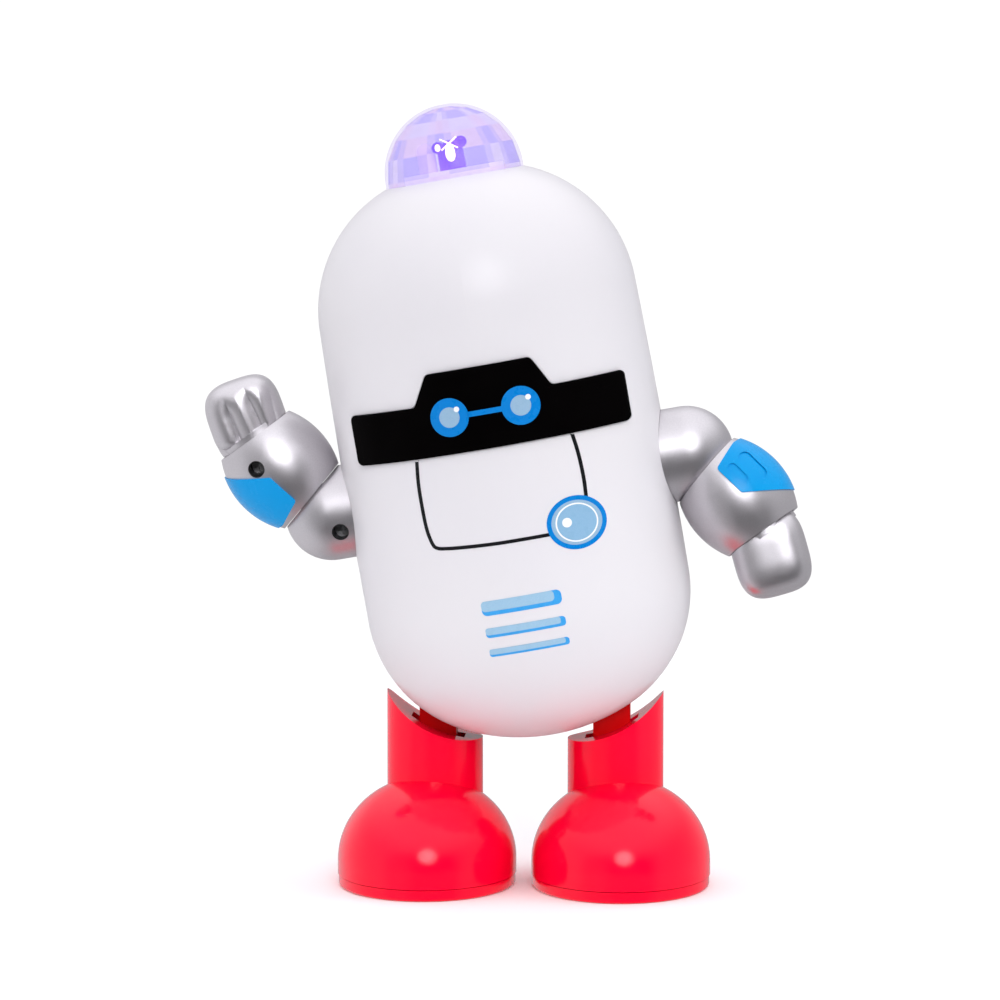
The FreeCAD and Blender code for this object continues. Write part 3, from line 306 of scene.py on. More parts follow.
DIAL_RINGS = [((7.75, 7.05), 0.0, "blue"), ((6.55, 5.85), 0.04, "pale"), ((5.50, 5.10), 0.08, "white"),
              ((5.10, 4.70), 0.12, "centre")]
DIAL_LIFT = 0.04
DIAL_DOT_LIFT = 0.20
DIAL_DOT = (-2.5, 0.4)
DIAL_DOT_R = 1.25
STRIPE_ROUND = 0.36
STRIPE_ENDS = (-9.85, 11.4)
STRIPES = [(-2.6, 3.87, 1.10, 1.9), (-9.1, 2.60, 0.75, 1.3), (-14.55, 2.05, 0.60, 1.0)]
PRINT_LIFT = 0.07
LAYER = 0.04
PRINT_FROM = -200.0
DISC_HOLE = 0.03
DISC_AROUND = 64
DISC_RINGS = 9
DIAL_DISC_RINGS = 14
SMALL_DISC_RINGS = 3
BAND_STEP = 0.7
BAND_ROWS = 6
LINE_STEPS = 10
LINE_ROWS = 2

# The lit lamp (body frame, mm): its foot and top, the outline of its glow, its cup, and its lobes and its cross,
# which are painted glints of its light in the facets.
LED_FOOT = 107.0
LED_TOP = 120.0
VIOLET_GLOW = 0.75
CORE_GLOW = 1.6
GLOW_PROFILE = [(0.0, 107.4), (3.5, 107.4), (3.6, 107.8), (3.6, 116.6), (3.3, 118.0), (2.8, 118.9),
                (2.5, 119.2), (0.0, 119.2)]
CUP_AT = (0.1, -2.9, 116.2)
CUP_RADII = (1.45, 1.1, 2.7)
# Painted glints of the lamp's light broken by the facets: two glowing lobes, a spark on the left one, and a cross.
LOBES = [(-3.0, 118.3), (3.3, 119.0)]
LOBE_Y = -3.0
LOBE_RADII = (1.7, 0.9, 1.6)
SPARK_Y = -3.7
SPARK_RADII = (0.8, 0.4, 1.0)
CROSS_AT = (0.25, -4.6, 119.0)
CROSS_LENGTH = 5.4
CROSS_W = 0.42
CROSS_TURNS = (34.0, -34.0)

INKS = {
    "blue": ink("ink_blue", (0.002, 0.195, 0.590), (0.003, 0.215, 0.620)),
    "pale": ink("ink_pale_blue", (0.275, 0.440, 0.600), (0.310, 0.475, 0.630)),
    "centre": ink("ink_dial_centre", (0.235, 0.430, 0.620), (0.275, 0.470, 0.655)),
    "stripe": ink("ink_stripe", (0.300, 0.500, 0.670), (0.350, 0.545, 0.700)),
    "edge": ink("ink_stripe_edge", (0.040, 0.330, 0.740), (0.060, 0.370, 0.770)),
    "white": ink("ink_white", (0.86, 0.88, 0.90), (0.90, 0.91, 0.92)),
    "black": ink("ink_black", (0.006, 0.006, 0.007), (0.012, 0.012, 0.014)),
}


def skin_of(name):
    """The surface of a CAD node, in the body frame, for dropping prints on."""
    mesh = bmesh.new()
    mesh.from_mesh(frame["nodes"][name].data)
    mesh.transform(BODY.inverted())
    tree = BVHTree.FromBMesh(mesh)
    mesh.free()
    return tree


def lay_on(skin, spot, lift):
    """The place on the skin at a body-frame (x, z), lifted off it, in the body frame and metres."""
    start = Vector((spot[0] * MM, PRINT_FROM * MM, spot[1] * MM))
    place, normal = skin.ray_cast(start, Vector((0.0, 1.0, 0.0)))[:2]
    if normal.y > 0:
        normal = -normal
    return place + normal * (lift * MM)


def thin_sheet(mesh, skin, rows, lift, finish, wraps=False, capped=False):
    """Adds a thin closed sheet of ink: rows of (x, z) spots, laid on the skin with a skirt sunk in it."""
    top = [[mesh.verts.new(lay_on(skin, spot, lift + PRINT_LIFT)) for spot in row] for row in rows]
    low = [[mesh.verts.new(lay_on(skin, spot, -PRINT_LIFT)) for spot in row] for row in rows]
    across = len(rows[0])
    faces = []
    for i in range(len(rows) - 1):
        for j in range(across if wraps else across - 1):
            k = (j + 1) % across
            faces.append((top[i][j], top[i][k], top[i + 1][k], top[i + 1][j]))
            faces.append((low[i][j], low[i + 1][j], low[i + 1][k], low[i][k]))
    rims = [(top[-1], low[-1])]
    if capped:
        faces.append(tuple(top[0]))
        faces.append(tuple(reversed(low[0])))
    else:
        rims.append((top[0][::-1], low[0][::-1]))
    if not wraps:
        rims.append(([row[0] for row in top], [row[0] for row in low]))
        rims.append(([row[-1] for row in top][::-1], [row[-1] for row in low][::-1]))
    for upper, lower in rims:
        for j in range(len(upper) if wraps else len(upper) - 1):
            k = (j + 1) % len(upper)
            faces.append((upper[j], upper[k], lower[k], lower[j]))
    for corners in faces:
        face = mesh.faces.new(corners)
        face.material_index = finish


def disc(centre, radii, rings=DISC_RINGS):
    """Rows of spots that fill an ellipse from its middle outwards."""
    rows = []
    turns = [2 * math.pi * j / DISC_AROUND for j in range(DISC_AROUND)]
    for i in range(rings + 1):
        share = DISC_HOLE + (1.0 - DISC_HOLE) * i / rings
        wide, tall = (radius * share for radius in radii)
        rows.append([(centre[0] + wide * math.cos(a), centre[1] + tall * math.sin(a)) for a in turns])
    return rows


def band(left, right, middle, thickness, corner):
    """Rows of spots that fill a level band with rounded ends."""
    half = thickness / 2
    ends = [corner * (1 - math.cos(math.radians(a))) for a in (3, 15, 30, 45, 60, 75, 90)]
    inner = right - left - 2 * corner
    steps = max(2, round(inner / BAND_STEP))
    along = [left + d for d in ends]
    along += [left + corner + inner * i / steps for i in range(1, steps)]
    along += [right - d for d in reversed(ends)]
    rows = []
    for x in along:
        inset = min(x - left, right - x, corner)
        reach = half - corner + math.sqrt(max(corner ** 2 - (corner - inset) ** 2, 0.0))
        rows.append([(x, middle - reach + 2 * reach * j / BAND_ROWS) for j in range(BAND_ROWS + 1)])
    return rows


def line(points, width):
    """Rows of spots along a smooth line through the points."""
    ends = [tuple(2 * a - b for a, b in zip(points[0], points[1]))]
    tail = [tuple(2 * a - b for a, b in zip(points[-1], points[-2]))]
    knots = [Vector(p) for p in ends + list(points) + tail]
    path = []
    for i in range(1, len(knots) - 2):
        before, start, end, after = knots[i - 1:i + 3]
        square = 2 * before - 5 * start + 4 * end - after
        cube = 3 * start - before - 3 * end + after
        for step in range(LINE_STEPS):
            t = step / LINE_STEPS
            path.append(0.5 * (2 * start + (end - before) * t + square * t * t + cube * t ** 3))
    path.append(knots[-2])
    rows = []
    for i, spot in enumerate(path):
        way = (path[min(i + 1, len(path) - 1)] - path[max(i - 1, 0)]).normalized()
        side = Vector((-way.y, way.x)) * width / 2
        rows.append([tuple(spot + side * (2 * j / LINE_ROWS - 1)) for j in range(LINE_ROWS + 1)])
    return rows


SHARP_ANGLE = math.radians(35)


def piece(name, mesh, finishes, body="torso"):
    """Turns a body-frame mesh into an object that rides on a body."""
    bmesh.ops.recalc_face_normals(mesh, faces=mesh.faces)
    mesh.transform(BODY)
    data = bpy.data.meshes.new(name)
    mesh.to_mesh(data)
    mesh.free()
    for finish in finishes:
        data.materials.append(finish.material)
    data.shade_smooth()
    data.set_sharp_from_angle(angle=SHARP_ANGLE)
    made = bpy.data.objects.new(name, data)
    bpy.context.scene.collection.objects.link(made)
    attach(made, body)
    return made


def eye_print(skin):
    """Two ringed eyes, each with a glint, joined by a bar."""
    mesh = bmesh.new()
    for centre in EYES:
        glint = (centre[0] + GLINT_OFF[0], centre[1] + GLINT_OFF[1])
        layers = [disc(centre, (EYE_R, EYE_R)), disc(centre, (EYE_CENTRE_R, EYE_CENTRE_R)),
                  disc(glint, (GLINT_R, GLINT_R), SMALL_DISC_RINGS)]
        for tone, rows in enumerate(layers):
            thin_sheet(mesh, skin, rows, tone * LAYER, tone, wraps=True, capped=True)
    reach = EYE_R - BRIDGE_SUNK
    bridge = band(EYES[0][0] + reach, EYES[1][0] - reach, EYES[0][1], BRIDGE_W, BRIDGE_CORNER)
    thin_sheet(mesh, skin, bridge, 0.0, 0)
    piece("eye_print", mesh, [INKS["blue"], INKS["pale"], INKS["white"]])


def pocket_print(skin):
    """The black line of the chest pocket, in two strokes."""
    mesh = bmesh.new()
    for points in (POCKET_LEFT, POCKET_RIGHT):
        thin_sheet(mesh, skin, line(points, POCKET_W), 0.0, 0)
    piece("pocket_print", mesh, [INKS["black"]])


def dial_print(skin):
    """The round dial on the chest, with a white dot."""
    mesh = bmesh.new()
    names = [entry[2] for entry in DIAL_RINGS]
    for radii, lift, tone in DIAL_RINGS:
        rows = disc(DIAL, radii, DIAL_DISC_RINGS)
        thin_sheet(mesh, skin, rows, lift + DIAL_LIFT, names.index(tone), wraps=True, capped=True)
    dot = (DIAL[0] + DIAL_DOT[0], DIAL[1] + DIAL_DOT[1])
    rows = disc(dot, (DIAL_DOT_R, DIAL_DOT_R), SMALL_DISC_RINGS)
    thin_sheet(mesh, skin, rows, DIAL_DOT_LIFT, names.index("white"), wraps=True, capped=True)
    piece("dial_print", mesh, [INKS[name] for name in names])


def stripe_print(skin):
    """Three bars low on the body, each with a darker lower edge."""
    mesh = bmesh.new()
    for middle, thickness, under, end in STRIPES:
        left, right = STRIPE_ENDS
        corner = thickness * STRIPE_ROUND
        thin_sheet(mesh, skin, band(left, right, middle, thickness, corner), 0.0, 0)
        inner = thickness - under
        rows = band(left, right - end, middle + under / 2, inner, inner * STRIPE_ROUND)
        thin_sheet(mesh, skin, rows, LAYER, 1)
    piece("stripe_print", mesh, [INKS["edge"], INKS["stripe"]])


# ---------------------------------------------------------------- the light dome
DOME_R = 18.8
DOME_Z = 110.9
DOME_WALL = 0.7
DOME_FOOT = 0.6
DOME_RINGS = 29
DOME_STEP = 3.0
FLANGE_R = 27.0
FLANGE_LOW = 99.0
FLANGE_HIGH = 100.4
FACETS = 20
FACET_COLUMNS = 6
FACET_RISES = (0.0, 20.0, 38.0, 54.0, 69.0, 82.0)
FACET_TINTS = 3
AROUND = 48


def dome_cover(finishes):
    """The dome: smooth outside, flat facets inside, on the flange that the shells hold."""
    mesh = bmesh.new()
    around = FACETS * FACET_COLUMNS

    def ring(radius, height):
        return [mesh.verts.new((radius * MM * math.cos(2 * math.pi * j / around),
                                radius * MM * math.sin(2 * math.pi * j / around), height * MM))
                for j in range(around)]

    def facet_ring(radius, height):
        corners = [Vector((math.cos(2 * math.pi * n / FACETS), math.sin(2 * math.pi * n / FACETS), 0.0))
                   for n in range(FACETS + 1)]
        made = []
        for n in range(FACETS):
            for j in range(FACET_COLUMNS):
                spot = corners[n].lerp(corners[n + 1], j / FACET_COLUMNS) * radius
                made.append(mesh.verts.new((spot.x * MM, spot.y * MM, height * MM)))
        return made

    def join(first, second, tints=False, row=0):
        for j in range(around):
            k = (j + 1) % around
            face = mesh.faces.new((first[j], first[k], second[k], second[j]))
            if tints:
                facet = j // FACET_COLUMNS
                face.material_index = 1 + (5 * facet + 7 * row + facet ** 2) % FACET_TINTS

    outer = [ring(FLANGE_R, FLANGE_LOW), ring(FLANGE_R, FLANGE_HIGH), ring(DOME_R + DOME_FOOT, FLANGE_HIGH),
             ring(DOME_R, FLANGE_HIGH + DOME_FOOT), ring(DOME_R, (FLANGE_HIGH + DOME_Z) / 2)]
    for step in range(DOME_RINGS):
        angle = math.radians(step * DOME_STEP)
        outer.append(ring(DOME_R * math.cos(angle), DOME_Z + DOME_R * math.sin(angle)))
    for first, second in zip(outer, outer[1:]):
        join(first, second)
    mesh.faces.new(outer[-1])
    reach = DOME_R - DOME_WALL
    inner = [facet_ring(reach, FLANGE_LOW)]
    for rise in FACET_RISES:
        angle = math.radians(rise)
        inner.append(facet_ring(reach * math.cos(angle), DOME_Z + reach * math.sin(angle)))
    for row, (first, second) in enumerate(zip(inner, inner[1:])):
        join(first, second, tints=True, row=row)
    mesh.faces.new(inner[-1])
    join(outer[0], inner[0])
    made = piece("dome_cover", mesh, finishes)
    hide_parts("dome_lens")


def rim(radius):
    """The angles of a ring's corners; a ring with no radius is a single point."""
    return [2 * math.pi * j / AROUND for j in range(AROUND if radius else 1)]


def join_rings(mesh, rings):
    """Faces between neighbouring rings, with triangles where a ring is a single point."""
    for first, second in zip(rings, rings[1:]):
        for j in range(AROUND):
            k = (j + 1) % AROUND
            corners = [first[j % len(first)], first[k % len(first)],
                       second[k % len(second)], second[j % len(second)]]
            mesh.faces.new(list(dict.fromkeys(corners)))


def blob(mesh, centre, radii, finish):
    """Adds an ellipsoid to a body-frame mesh."""
    made = bmesh.ops.create_icosphere(mesh, subdivisions=4, radius=1.0)
    for vert in made["verts"]:
        spot = [middle + radius * part for middle, radius, part in zip(centre, radii, vert.co)]
        vert.co = Vector(spot) * MM
        for face in vert.link_faces:
            face.material_index = finish


def bar(mesh, centre, length, width, turn, finish):
    """Adds a thin level bar, turned in the x-z plane."""
    place = Matrix.Translation(Vector(centre) * MM) @ Matrix.Rotation(math.radians(turn), 4, "Y")
    made = bmesh.ops.create_cube(mesh, size=MM, matrix=place @ Matrix.Diagonal((length, width, width, 1.0)))
    for vert in made["verts"]:
        for face in vert.link_faces:
            face.material_index = finish


def lamp_glow(violet, core):
    """The lit lamp as the facets show it: a wide violet body and its bright cup, with painted glints of its light
    in the facets: two lobes, a spark and a cross of light above.
    """
    mesh = bmesh.new()
    rings = []
    for radius, height in GLOW_PROFILE:
        rings.append([mesh.verts.new(Vector((radius * math.cos(a), radius * math.sin(a), height)) * MM)
                      for a in rim(radius)])
    join_rings(mesh, rings)
    blob(mesh, CUP_AT, CUP_RADII, 1)
    # Painted glints: glowing lobes, a spark and a cross, for the lamp's light broken by the facets.
    for x, z in LOBES:
        blob(mesh, (x, LOBE_Y, z), LOBE_RADII, 0)
    blob(mesh, (LOBES[0][0], SPARK_Y, LOBES[0][1]), SPARK_RADII, 1)
    for turn in CROSS_TURNS:
        bar(mesh, CROSS_AT, CROSS_LENGTH, CROSS_W, turn, 1)
    piece("lamp_glow", mesh, [violet, core])


# ---------------------------------------------------------------- fists, and screw wells with sleeves of painted shade
# Places are in millimetres in the frame of one arm that hangs: the right arm as it is, the left one mirrored.
# The wrist plug is radii and reaches along the wrist's axis. A crease runs from its top to its end, in x, z.
# A finger tip is its middle, its height and its half width.
SHOULDER = (41.0, 25.8)
ARM_TURNS = {-1: 178.0, 1: 8.0}
SIDES = {-1: "left", 1: "right"}
WRIST = Vector((24.6, 0.0, -24.6))
WRIST_AXIS = Vector((0.44, 0.0, -0.90)).normalized()
FIST_MID = (25.6, -0.3, -30.8)
FIST_LEANS = {-1: 9.0, 1: 6.0}
FIST_OUT = {-1: 0.4, 1: 0.0}
FIST_RISE = {-1: 1.6, 1: 0.0}
FIST_HALF = (10.2, 9.5, 11.4)
FIST_SQUARE = 3.3
WRIST_GAP = 0.15
WRIST_PLUG = [(0.0, 1.5), (9.9, 1.5), (9.9, -0.95), (4.6, -0.95), (4.6, -2.9), (6.6, -2.9), (6.6, -4.0),
              (0.0, -4.0)]
CREASES = [((3.2, -7.2), (2.4, 5.8)), ((-2.9, -8.6), (-4.3, 4.6)), ((-9.1, -6.6), (-8.0, 4.4))]
CREASE_DEPTH = 1.5
CREASE_FADE = (-0.12, 0.38)
LOBE_REACH = 4.4
LOBE_POWER = 2.4
FINGER_TIPS = [(6.1, 5.8, 4.2), (-0.6, 6.4, 3.4), (-6.4, 4.6, 2.6)]
TIP_BEND = 1.7
TIP_ROUND = 2.6
TIP_STEP = 2.2
HEEL_RISE = 0.8
HEEL_REACH = 1.6
REAR_FADE = (0.10, 0.55)
WELLS = [("upper_arm_back", 5.3, 4.1), ("forearm_back", 24.4, -16.6)]
WELL_R = 2.3
WELL_FLOOR = 4.6
SLEEVE_GAP = 0.02
SLEEVE_WALL = 0.20
SLEEVE_SUNK = 0.35
SLEEVE_LOOK = 0.15
SLEEVE_AROUND = 40
LOOK_FROM = 40.0


def arm_frame(side):
    """From one arm's own frame, in millimetres, to the body frame, in metres."""
    place = Matrix.Translation((side * SHOULDER[0] * MM, 0.0, SHOULDER[1] * MM))
    turn = Matrix.Rotation(math.radians(-ARM_TURNS[side]), 4, "X")
    return place @ turn @ Matrix.Diagonal((side * MM, MM, MM, 1.0))


def eased(value, low, high):
    """0 at low, 1 at high, smooth between."""
    share = min(max((value - low) / (high - low), 0.0), 1.0)
    return share * share * (3.0 - 2.0 * share)


def finger_relief(x, z):
    """How deep the rear of the fist lies under its round form, at a place across and along it."""
    depth = 0.0
    for (top_x, top_z), (end_x, end_z) in CREASES:
        along = (z - top_z) / (end_z - top_z)
        middle = top_x + (end_x - top_x) * along
        live = eased(along, *CREASE_FADE)
        swell = max(1.0 - abs(x - middle) / LOBE_REACH, 0.0)
        depth = max(depth, CREASE_DEPTH * live * swell ** LOBE_POWER)
    tip = max(high - TIP_BEND * ((x - middle) / half) ** 2 for middle, high, half in FINGER_TIPS)
    share = (z - tip + TIP_ROUND) / TIP_ROUND
    if share < 0.0:
        return depth
    if share < 1.0:
        return max(depth, TIP_STEP * (1.0 - math.sqrt(1.0 - share * share)))
    return TIP_STEP - HEEL_RISE * eased(z, tip, tip + HEEL_REACH)


def hand(mesh, side):
    """Adds the rounded mitten with its fingers in relief, cut flat at the wrist."""
    bmesh.ops.create_icosphere(mesh, subdivisions=7, radius=1.0)
    middle = Vector(FIST_MID) + Vector((FIST_OUT[side], 0.0, FIST_RISE[side]))
    lean = Matrix.Translation(middle) @ Matrix.Rotation(math.radians(-FIST_LEANS[side]), 4, "Y")
    for vert in mesh.verts:
        way = vert.co
        powers = [abs(part / half) ** FIST_SQUARE for part, half in zip(way, FIST_HALF)]
        spot = way * sum(powers) ** (-1.0 / FIST_SQUARE)
        spot.y -= finger_relief(spot.x, spot.z) * eased(spot.y / FIST_HALF[1], *REAR_FADE)
        spot = lean @ spot
        short = WRIST_GAP - (spot - WRIST).dot(WRIST_AXIS)
        vert.co = spot + WRIST_AXIS * max(short, 0.0)


def wrist_plug(mesh):
    """Adds the turned plug that holds the fist in the forearm."""
    across = WRIST_AXIS.cross(Vector((0.0, 1.0, 0.0)))
    rings = []
    for radius, reach in WRIST_PLUG:
        middle = WRIST + WRIST_AXIS * reach
        rings.append([mesh.verts.new(middle + across * (radius * math.cos(a))
                                     + Vector((0.0, radius * math.sin(a), 0.0)))
                      for a in rim(radius)])
    join_rings(mesh, rings)


def fist(side, finish):
    """A rounded mitten of a hand, three curled fingers in relief on its rear side, and its wrist plug."""
    mesh = bmesh.new()
    hand(mesh, side)
    wrist_plug(mesh)
    mesh.transform(arm_frame(side))
    name = "fist_" + SIDES[side]
    made = piece("fist_form_" + SIDES[side], mesh, [finish], body=name)
    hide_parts(name)


def well_shade_sleeves(side, finish):
    """Dark sleeves in the two screw wells of an arm, from the screw's head to just under its skin: painted shade,
    standing in for the shade deep in each well.
    """
    around = SLEEVE_AROUND
    outside = WELL_R - SLEEVE_GAP
    inside = outside - SLEEVE_WALL
    for node, x, z in WELLS:
        name = node + "_" + SIDES[side]
        skin = bmesh.new()
        skin.from_mesh(frame["nodes"][name].data)
        skin.transform((BODY @ arm_frame(side)).inverted())
        tree = BVHTree.FromBMesh(skin)
        skin.free()
        turns = [2 * math.pi * j / around for j in range(around)]
        mesh = bmesh.new()
        rings = []
        for radius, rises in ((outside, False), (outside, True), (inside, True), (inside, False)):
            ring = []
            for a in turns:
                beside = WELL_R + SLEEVE_LOOK
                edge = Vector((x + beside * math.cos(a), LOOK_FROM, z + beside * math.sin(a)))
                top = tree.ray_cast(edge, Vector((0.0, -1.0, 0.0)))[0].y - SLEEVE_SUNK
                ring.append(mesh.verts.new((x + radius * math.cos(a), top if rises else WELL_FLOOR,
                                            z + radius * math.sin(a))))
            rings.append(ring)
        for first, second in zip(rings, rings[1:] + rings[:1]):
            for j in range(around):
                k = (j + 1) % around
                mesh.faces.new((first[j], first[k], second[k], second[j]))
        mesh.transform(arm_frame(side))
        body = name.replace("_back", "")
        piece("well_shade_sleeve_" + body, mesh, [finish], body=body)


# ---------------------------------------------------------------- finishes of the CAD nodes
FINISHES = {
    "white_body": white_shell(),
    "black_visor": visor_black(),
    # The dome's faint glow (its last number) is painted light from the lamp inside.
    "clear_dome": clear_plastic("dome_clear", (0.96, 0.94, 0.99), (0.52, 0.44, 0.80), 0.86, 0.10),
    # The reflector's glow is painted light: it lifts the shade at the foot of the dome, though the reflector is no
    # lamp.
    "lamp_white": gloss_plastic("lamp_reflector_white", (0.88, 0.86, 0.92), (0.84, 0.82, 0.89), 0.30,
                                Emission_Color=(0.90, 0.85, 1.0, 1.0), Emission_Strength=0.45),
    "violet_lamp": violet_lamp(),
    "clear_lamp": clear_plastic("clear_lamp_epoxy", (0.97, 0.94, 0.98), (0.92, 0.84, 0.95), 0.35, 0.18),
    "silver_paint": silver_paint(),
    "blue_panel": gloss_plastic("panel_gloss_blue", (0.001, 0.300, 0.690), (0.002, 0.318, 0.700), 0.24,
                               Specular_IOR_Level=0.15),
    "red_boot": gloss_plastic("boot_gloss_red", (0.960, 0.0004, 0.030), (0.940, 0.0008, 0.034), 0.12,
                              Specular_IOR_Level=0.25),
    "red_leg": gloss_plastic("leg_satin_red", (0.800, 0.0002, 0.002), (0.760, 0.0004, 0.003), 0.34,
                             Specular_IOR_Level=0.10),
    "steel": bare_metal("turned_steel", (0.42, 0.42, 0.43), (0.62, 0.62, 0.63), 0.26),
    "black_plastic": moulded("moulded_black", (0.010, 0.010, 0.011), (0.030, 0.030, 0.032), 0.42),
    "grey_plastic": moulded("moulded_grey", (0.30, 0.31, 0.33), (0.40, 0.41, 0.43), 0.40),
    "gear_plastic": gear_acetal(),
    "board_green": solder_mask(),
    "cell_wrap": cell_wrap(),
    "spring_steel": bare_metal("nickel_spring", (0.60, 0.58, 0.54), (0.75, 0.73, 0.70), 0.20),
}


def dress(finishes):
    """Gives each CAD node the finish of its slot in the record."""
    for entry in frame["record"]["subparts"]:
        node = frame["nodes"][entry["node"]]
        material = finishes[entry["material_slot"]].material
        node.data.materials.clear()
        node.data.materials.append(material)


# ---------------------------------------------------------------- studio
ROOM_BRIGHT = 0.48
ROOM_DARK = 0.03
FLOOR_GLOW = 0.06
FLOOR_R = 0.55
SKY_GLOW = 0.90
LEFT_GLOW = 0.35
BACKDROP_GLOW = 1.05
FRONT_FADE = (-0.80, -0.25)
LOW_FADE = (0.25, 0.75)
SKY_FADE = (0.35, 0.85)
LEFT_FADE = (-0.60, -0.05)
KEY_WAY = (0.153, -0.870, 0.469)
KEY_CORE = 2.0
KEY_EDGE = 18.0
KEY_GLOW = 9.0
LAMP_YZ = (-0.25, 0.60)
LAMP_TARGET = (0.0, 0.0, 0.12)
LAMP_SIZE = (0.60, 1.00)


def side_lamp(name, x, power):
    """A soft rectangular light beside the robot, which reflections don't show."""
    place = Vector((x, *LAMP_YZ))
    data = bpy.data.lights.new(name, "AREA")
    data.shape = "RECTANGLE"
    data.size, data.size_y = LAMP_SIZE
    data.energy = power
    made = bpy.data.objects.new(name, data)
    made.location = place
    made.visible_glossy = False
    made.rotation_mode = "QUATERNION"
    made.rotation_quaternion = (Vector(LAMP_TARGET) - place).to_track_quat("-Z", "Y")
    bpy.context.scene.collection.objects.link(made)


def studio_world():
    """A white room with a bright ceiling and a soft key light, dark low in front and brighter on the left.

    The camera itself sees plain white behind the object.
    """
    world = bpy.data.worlds.new("studio")
    bpy.context.scene.world = world
    world.use_nodes = True
    tree = world.node_tree
    tree.nodes.clear()

    def ranged(value, low, high, new_low, new_high):
        node = tree.nodes.new("ShaderNodeMapRange")
        node.interpolation_type = "SMOOTHSTEP"
        ends = {"From Min": low, "From Max": high, "To Min": new_low, "To Max": new_high}
        for socket, number in ends.items():
            node.inputs[socket].default_value = number
        tree.links.new(value, node.inputs[0])
        return node.outputs[0]

    def combined(operation, first, second):
        node = tree.nodes.new("ShaderNodeMath")
        node.operation = operation
        tree.links.new(first, node.inputs[0])
        tree.links.new(second, node.inputs[1])
        return node.outputs[0]

    place = tree.nodes.new("ShaderNodeTexCoord")
    parts = tree.nodes.new("ShaderNodeSeparateXYZ")
    tree.links.new(place.outputs["Generated"], parts.inputs[0])
    in_front = ranged(parts.outputs[1], *FRONT_FADE, 1.0, 0.0)
    low_down = ranged(parts.outputs[2], *LOW_FADE, 1.0, 0.0)
    toward = tree.nodes.new("ShaderNodeVectorMath")
    toward.operation = "DOT_PRODUCT"
    tree.links.new(place.outputs["Generated"], toward.inputs[0])
    toward.inputs[1].default_value = KEY_WAY
    edge, core = (math.cos(math.radians(angle)) for angle in (KEY_EDGE, KEY_CORE))
    key = ranged(toward.outputs["Value"], edge, core, 0.0, KEY_GLOW)
    overhead = ranged(parts.outputs[2], *SKY_FADE, 0.0, SKY_GLOW)
    walls = ranged(combined("MULTIPLY", in_front, low_down), 0.0, 1.0, ROOM_BRIGHT, ROOM_DARK)
    left = combined("MULTIPLY", ranged(parts.outputs[0], *LEFT_FADE, LEFT_GLOW, 0.0), low_down)
    room = tree.nodes.new("ShaderNodeBackground")
    room.inputs[0].default_value = (0.97, 0.965, 1.0, 1.0)
    sides = combined("ADD", walls, left)
    lights = combined("ADD", overhead, key)
    tree.links.new(combined("ADD", sides, lights), room.inputs[1])
    seen = tree.nodes.new("ShaderNodeBackground")
    seen.inputs[0].default_value = (1.0, 1.0, 1.0, 1.0)
    seen.inputs[1].default_value = BACKDROP_GLOW
    ray = tree.nodes.new("ShaderNodeLightPath")
    pick = tree.nodes.new("ShaderNodeMixShader")
    out = tree.nodes.new("ShaderNodeOutputWorld")
    tree.links.new(ray.outputs["Is Camera Ray"], pick.inputs[0])
    tree.links.new(room.outputs[0], pick.inputs[1])
    tree.links.new(seen.outputs[0], pick.inputs[2])
    tree.links.new(pick.outputs[0], out.inputs[0])


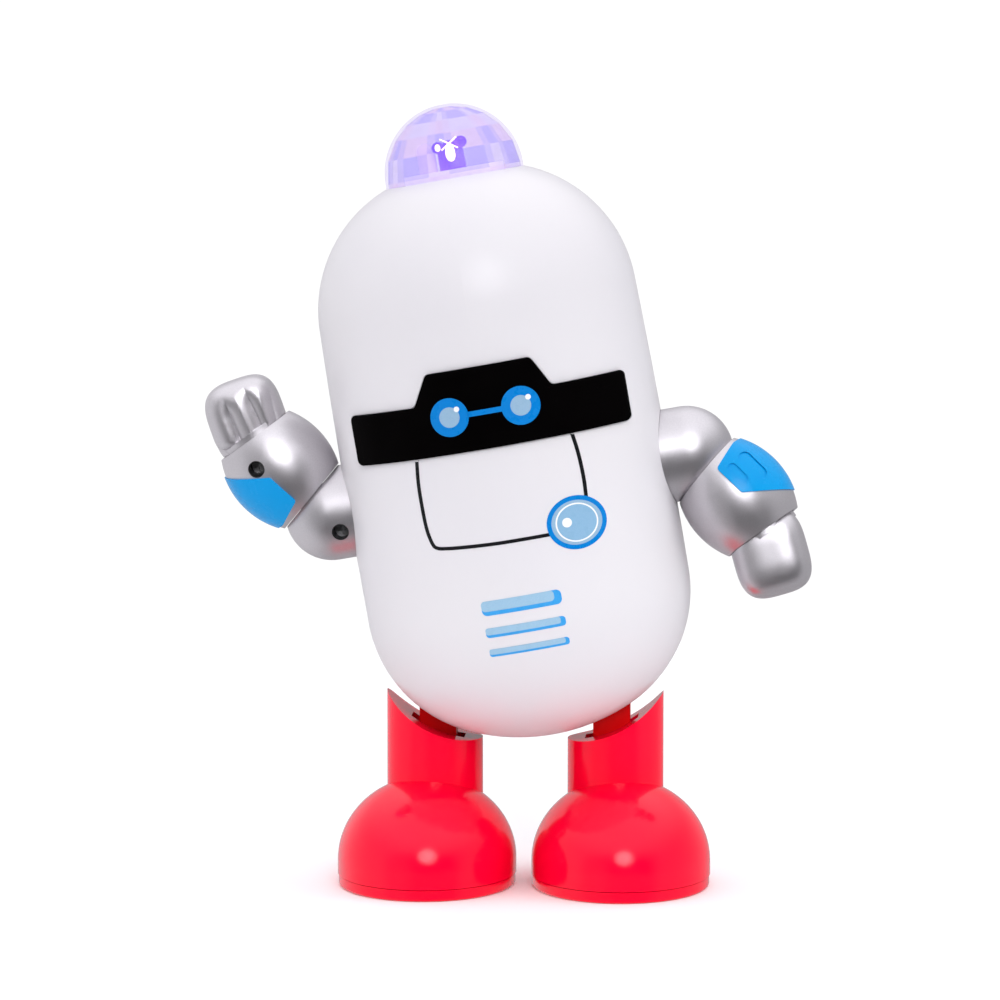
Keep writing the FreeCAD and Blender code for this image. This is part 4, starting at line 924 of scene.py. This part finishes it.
def studio_floor():
    """A plain pale floor, faintly lit from below like a product table. Glossy surfaces don't reflect it."""
    made = Finish("floor_paper")
    made.colour(made.mix(made.noise(60.0, 3.0), (0.90, 0.90, 0.905), (0.925, 0.925, 0.925)))
    made.rough(made.fit(made.noise(20.0, 2.0), 0.3, 0.7, 0.80, 0.92))
    made.shader.inputs["Emission Color"].default_value = (1.0, 1.0, 1.0, 1.0)
    made.shader.inputs["Emission Strength"].default_value = FLOOR_GLOW
    made.bump((made.noise(1.5, 2.0), 0.01))
    mesh = bmesh.new()
    bmesh.ops.create_circle(mesh, cap_ends=True, segments=96, radius=FLOOR_R)
    data = bpy.data.meshes.new("studio_floor")
    mesh.to_mesh(data)
    mesh.free()
    data.materials.append(made.material)
    floor = bpy.data.objects.new("studio_floor", data)
    floor.visible_glossy = False
    bpy.context.scene.collection.objects.link(floor)


# The camera: far off with a long lens, a little to the viewer's right of straight ahead and a little above.
SENSOR = 36.0
LENS = 157.6
CAMERA_TURN = math.radians(3.3)
CAMERA_DISTANCE = 1.183
CAMERA_HEIGHT = 0.207
CAMERA_DROP = math.radians(4.98)
AIM_X = -0.00215


def camera():
    data = bpy.data.cameras.new("camera")
    data.sensor_width = SENSOR
    data.lens = LENS
    made = bpy.data.objects.new("camera", data)
    made.location = (AIM_X + CAMERA_DISTANCE * math.sin(CAMERA_TURN),
                     -CAMERA_DISTANCE * math.cos(CAMERA_TURN), CAMERA_HEIGHT)
    made.rotation_euler = (math.pi / 2 - CAMERA_DROP, 0.0, CAMERA_TURN)
    bpy.context.scene.collection.objects.link(made)
    bpy.context.scene.camera = made


# ---------------------------------------------------------------- the whole scene
dress(FINISHES)
shell_skin = skin_of("front_body_shell")
visor_skin = skin_of("face_visor")
eye_print(visor_skin)
pocket_print(shell_skin)
dial_print(shell_skin)
stripe_print(shell_skin)
# The facets glow faintly too (the last number of each): painted light from the lamp inside.
dome_cover([FINISHES["clear_dome"],
            clear_plastic("facet_plain", (0.95, 0.93, 1.00), (0.56, 0.48, 0.82), 0.88, 0.10),
            clear_plastic("facet_blue", (0.84, 0.82, 1.00), (0.40, 0.34, 0.88), 0.80, 0.10),
            clear_plastic("facet_pink", (0.96, 0.90, 0.98), (0.66, 0.52, 0.78), 0.86, 0.10)])
for side in (-1, 1):
    fist(side, FINISHES["silver_paint"])
    # Dark sleeves of painted shade in each arm's screw wells.
    well_shade_sleeves(side, FINISHES["black_plastic"])
lamp_glow(FINISHES["violet_lamp"], lamp_core())

studio_world()
studio_floor()
camera()
side_lamp("left_box", -1.30, 0.5)
side_lamp("right_box", 1.35, 3.2)
bpy.context.scene.view_settings.view_transform = "Standard"
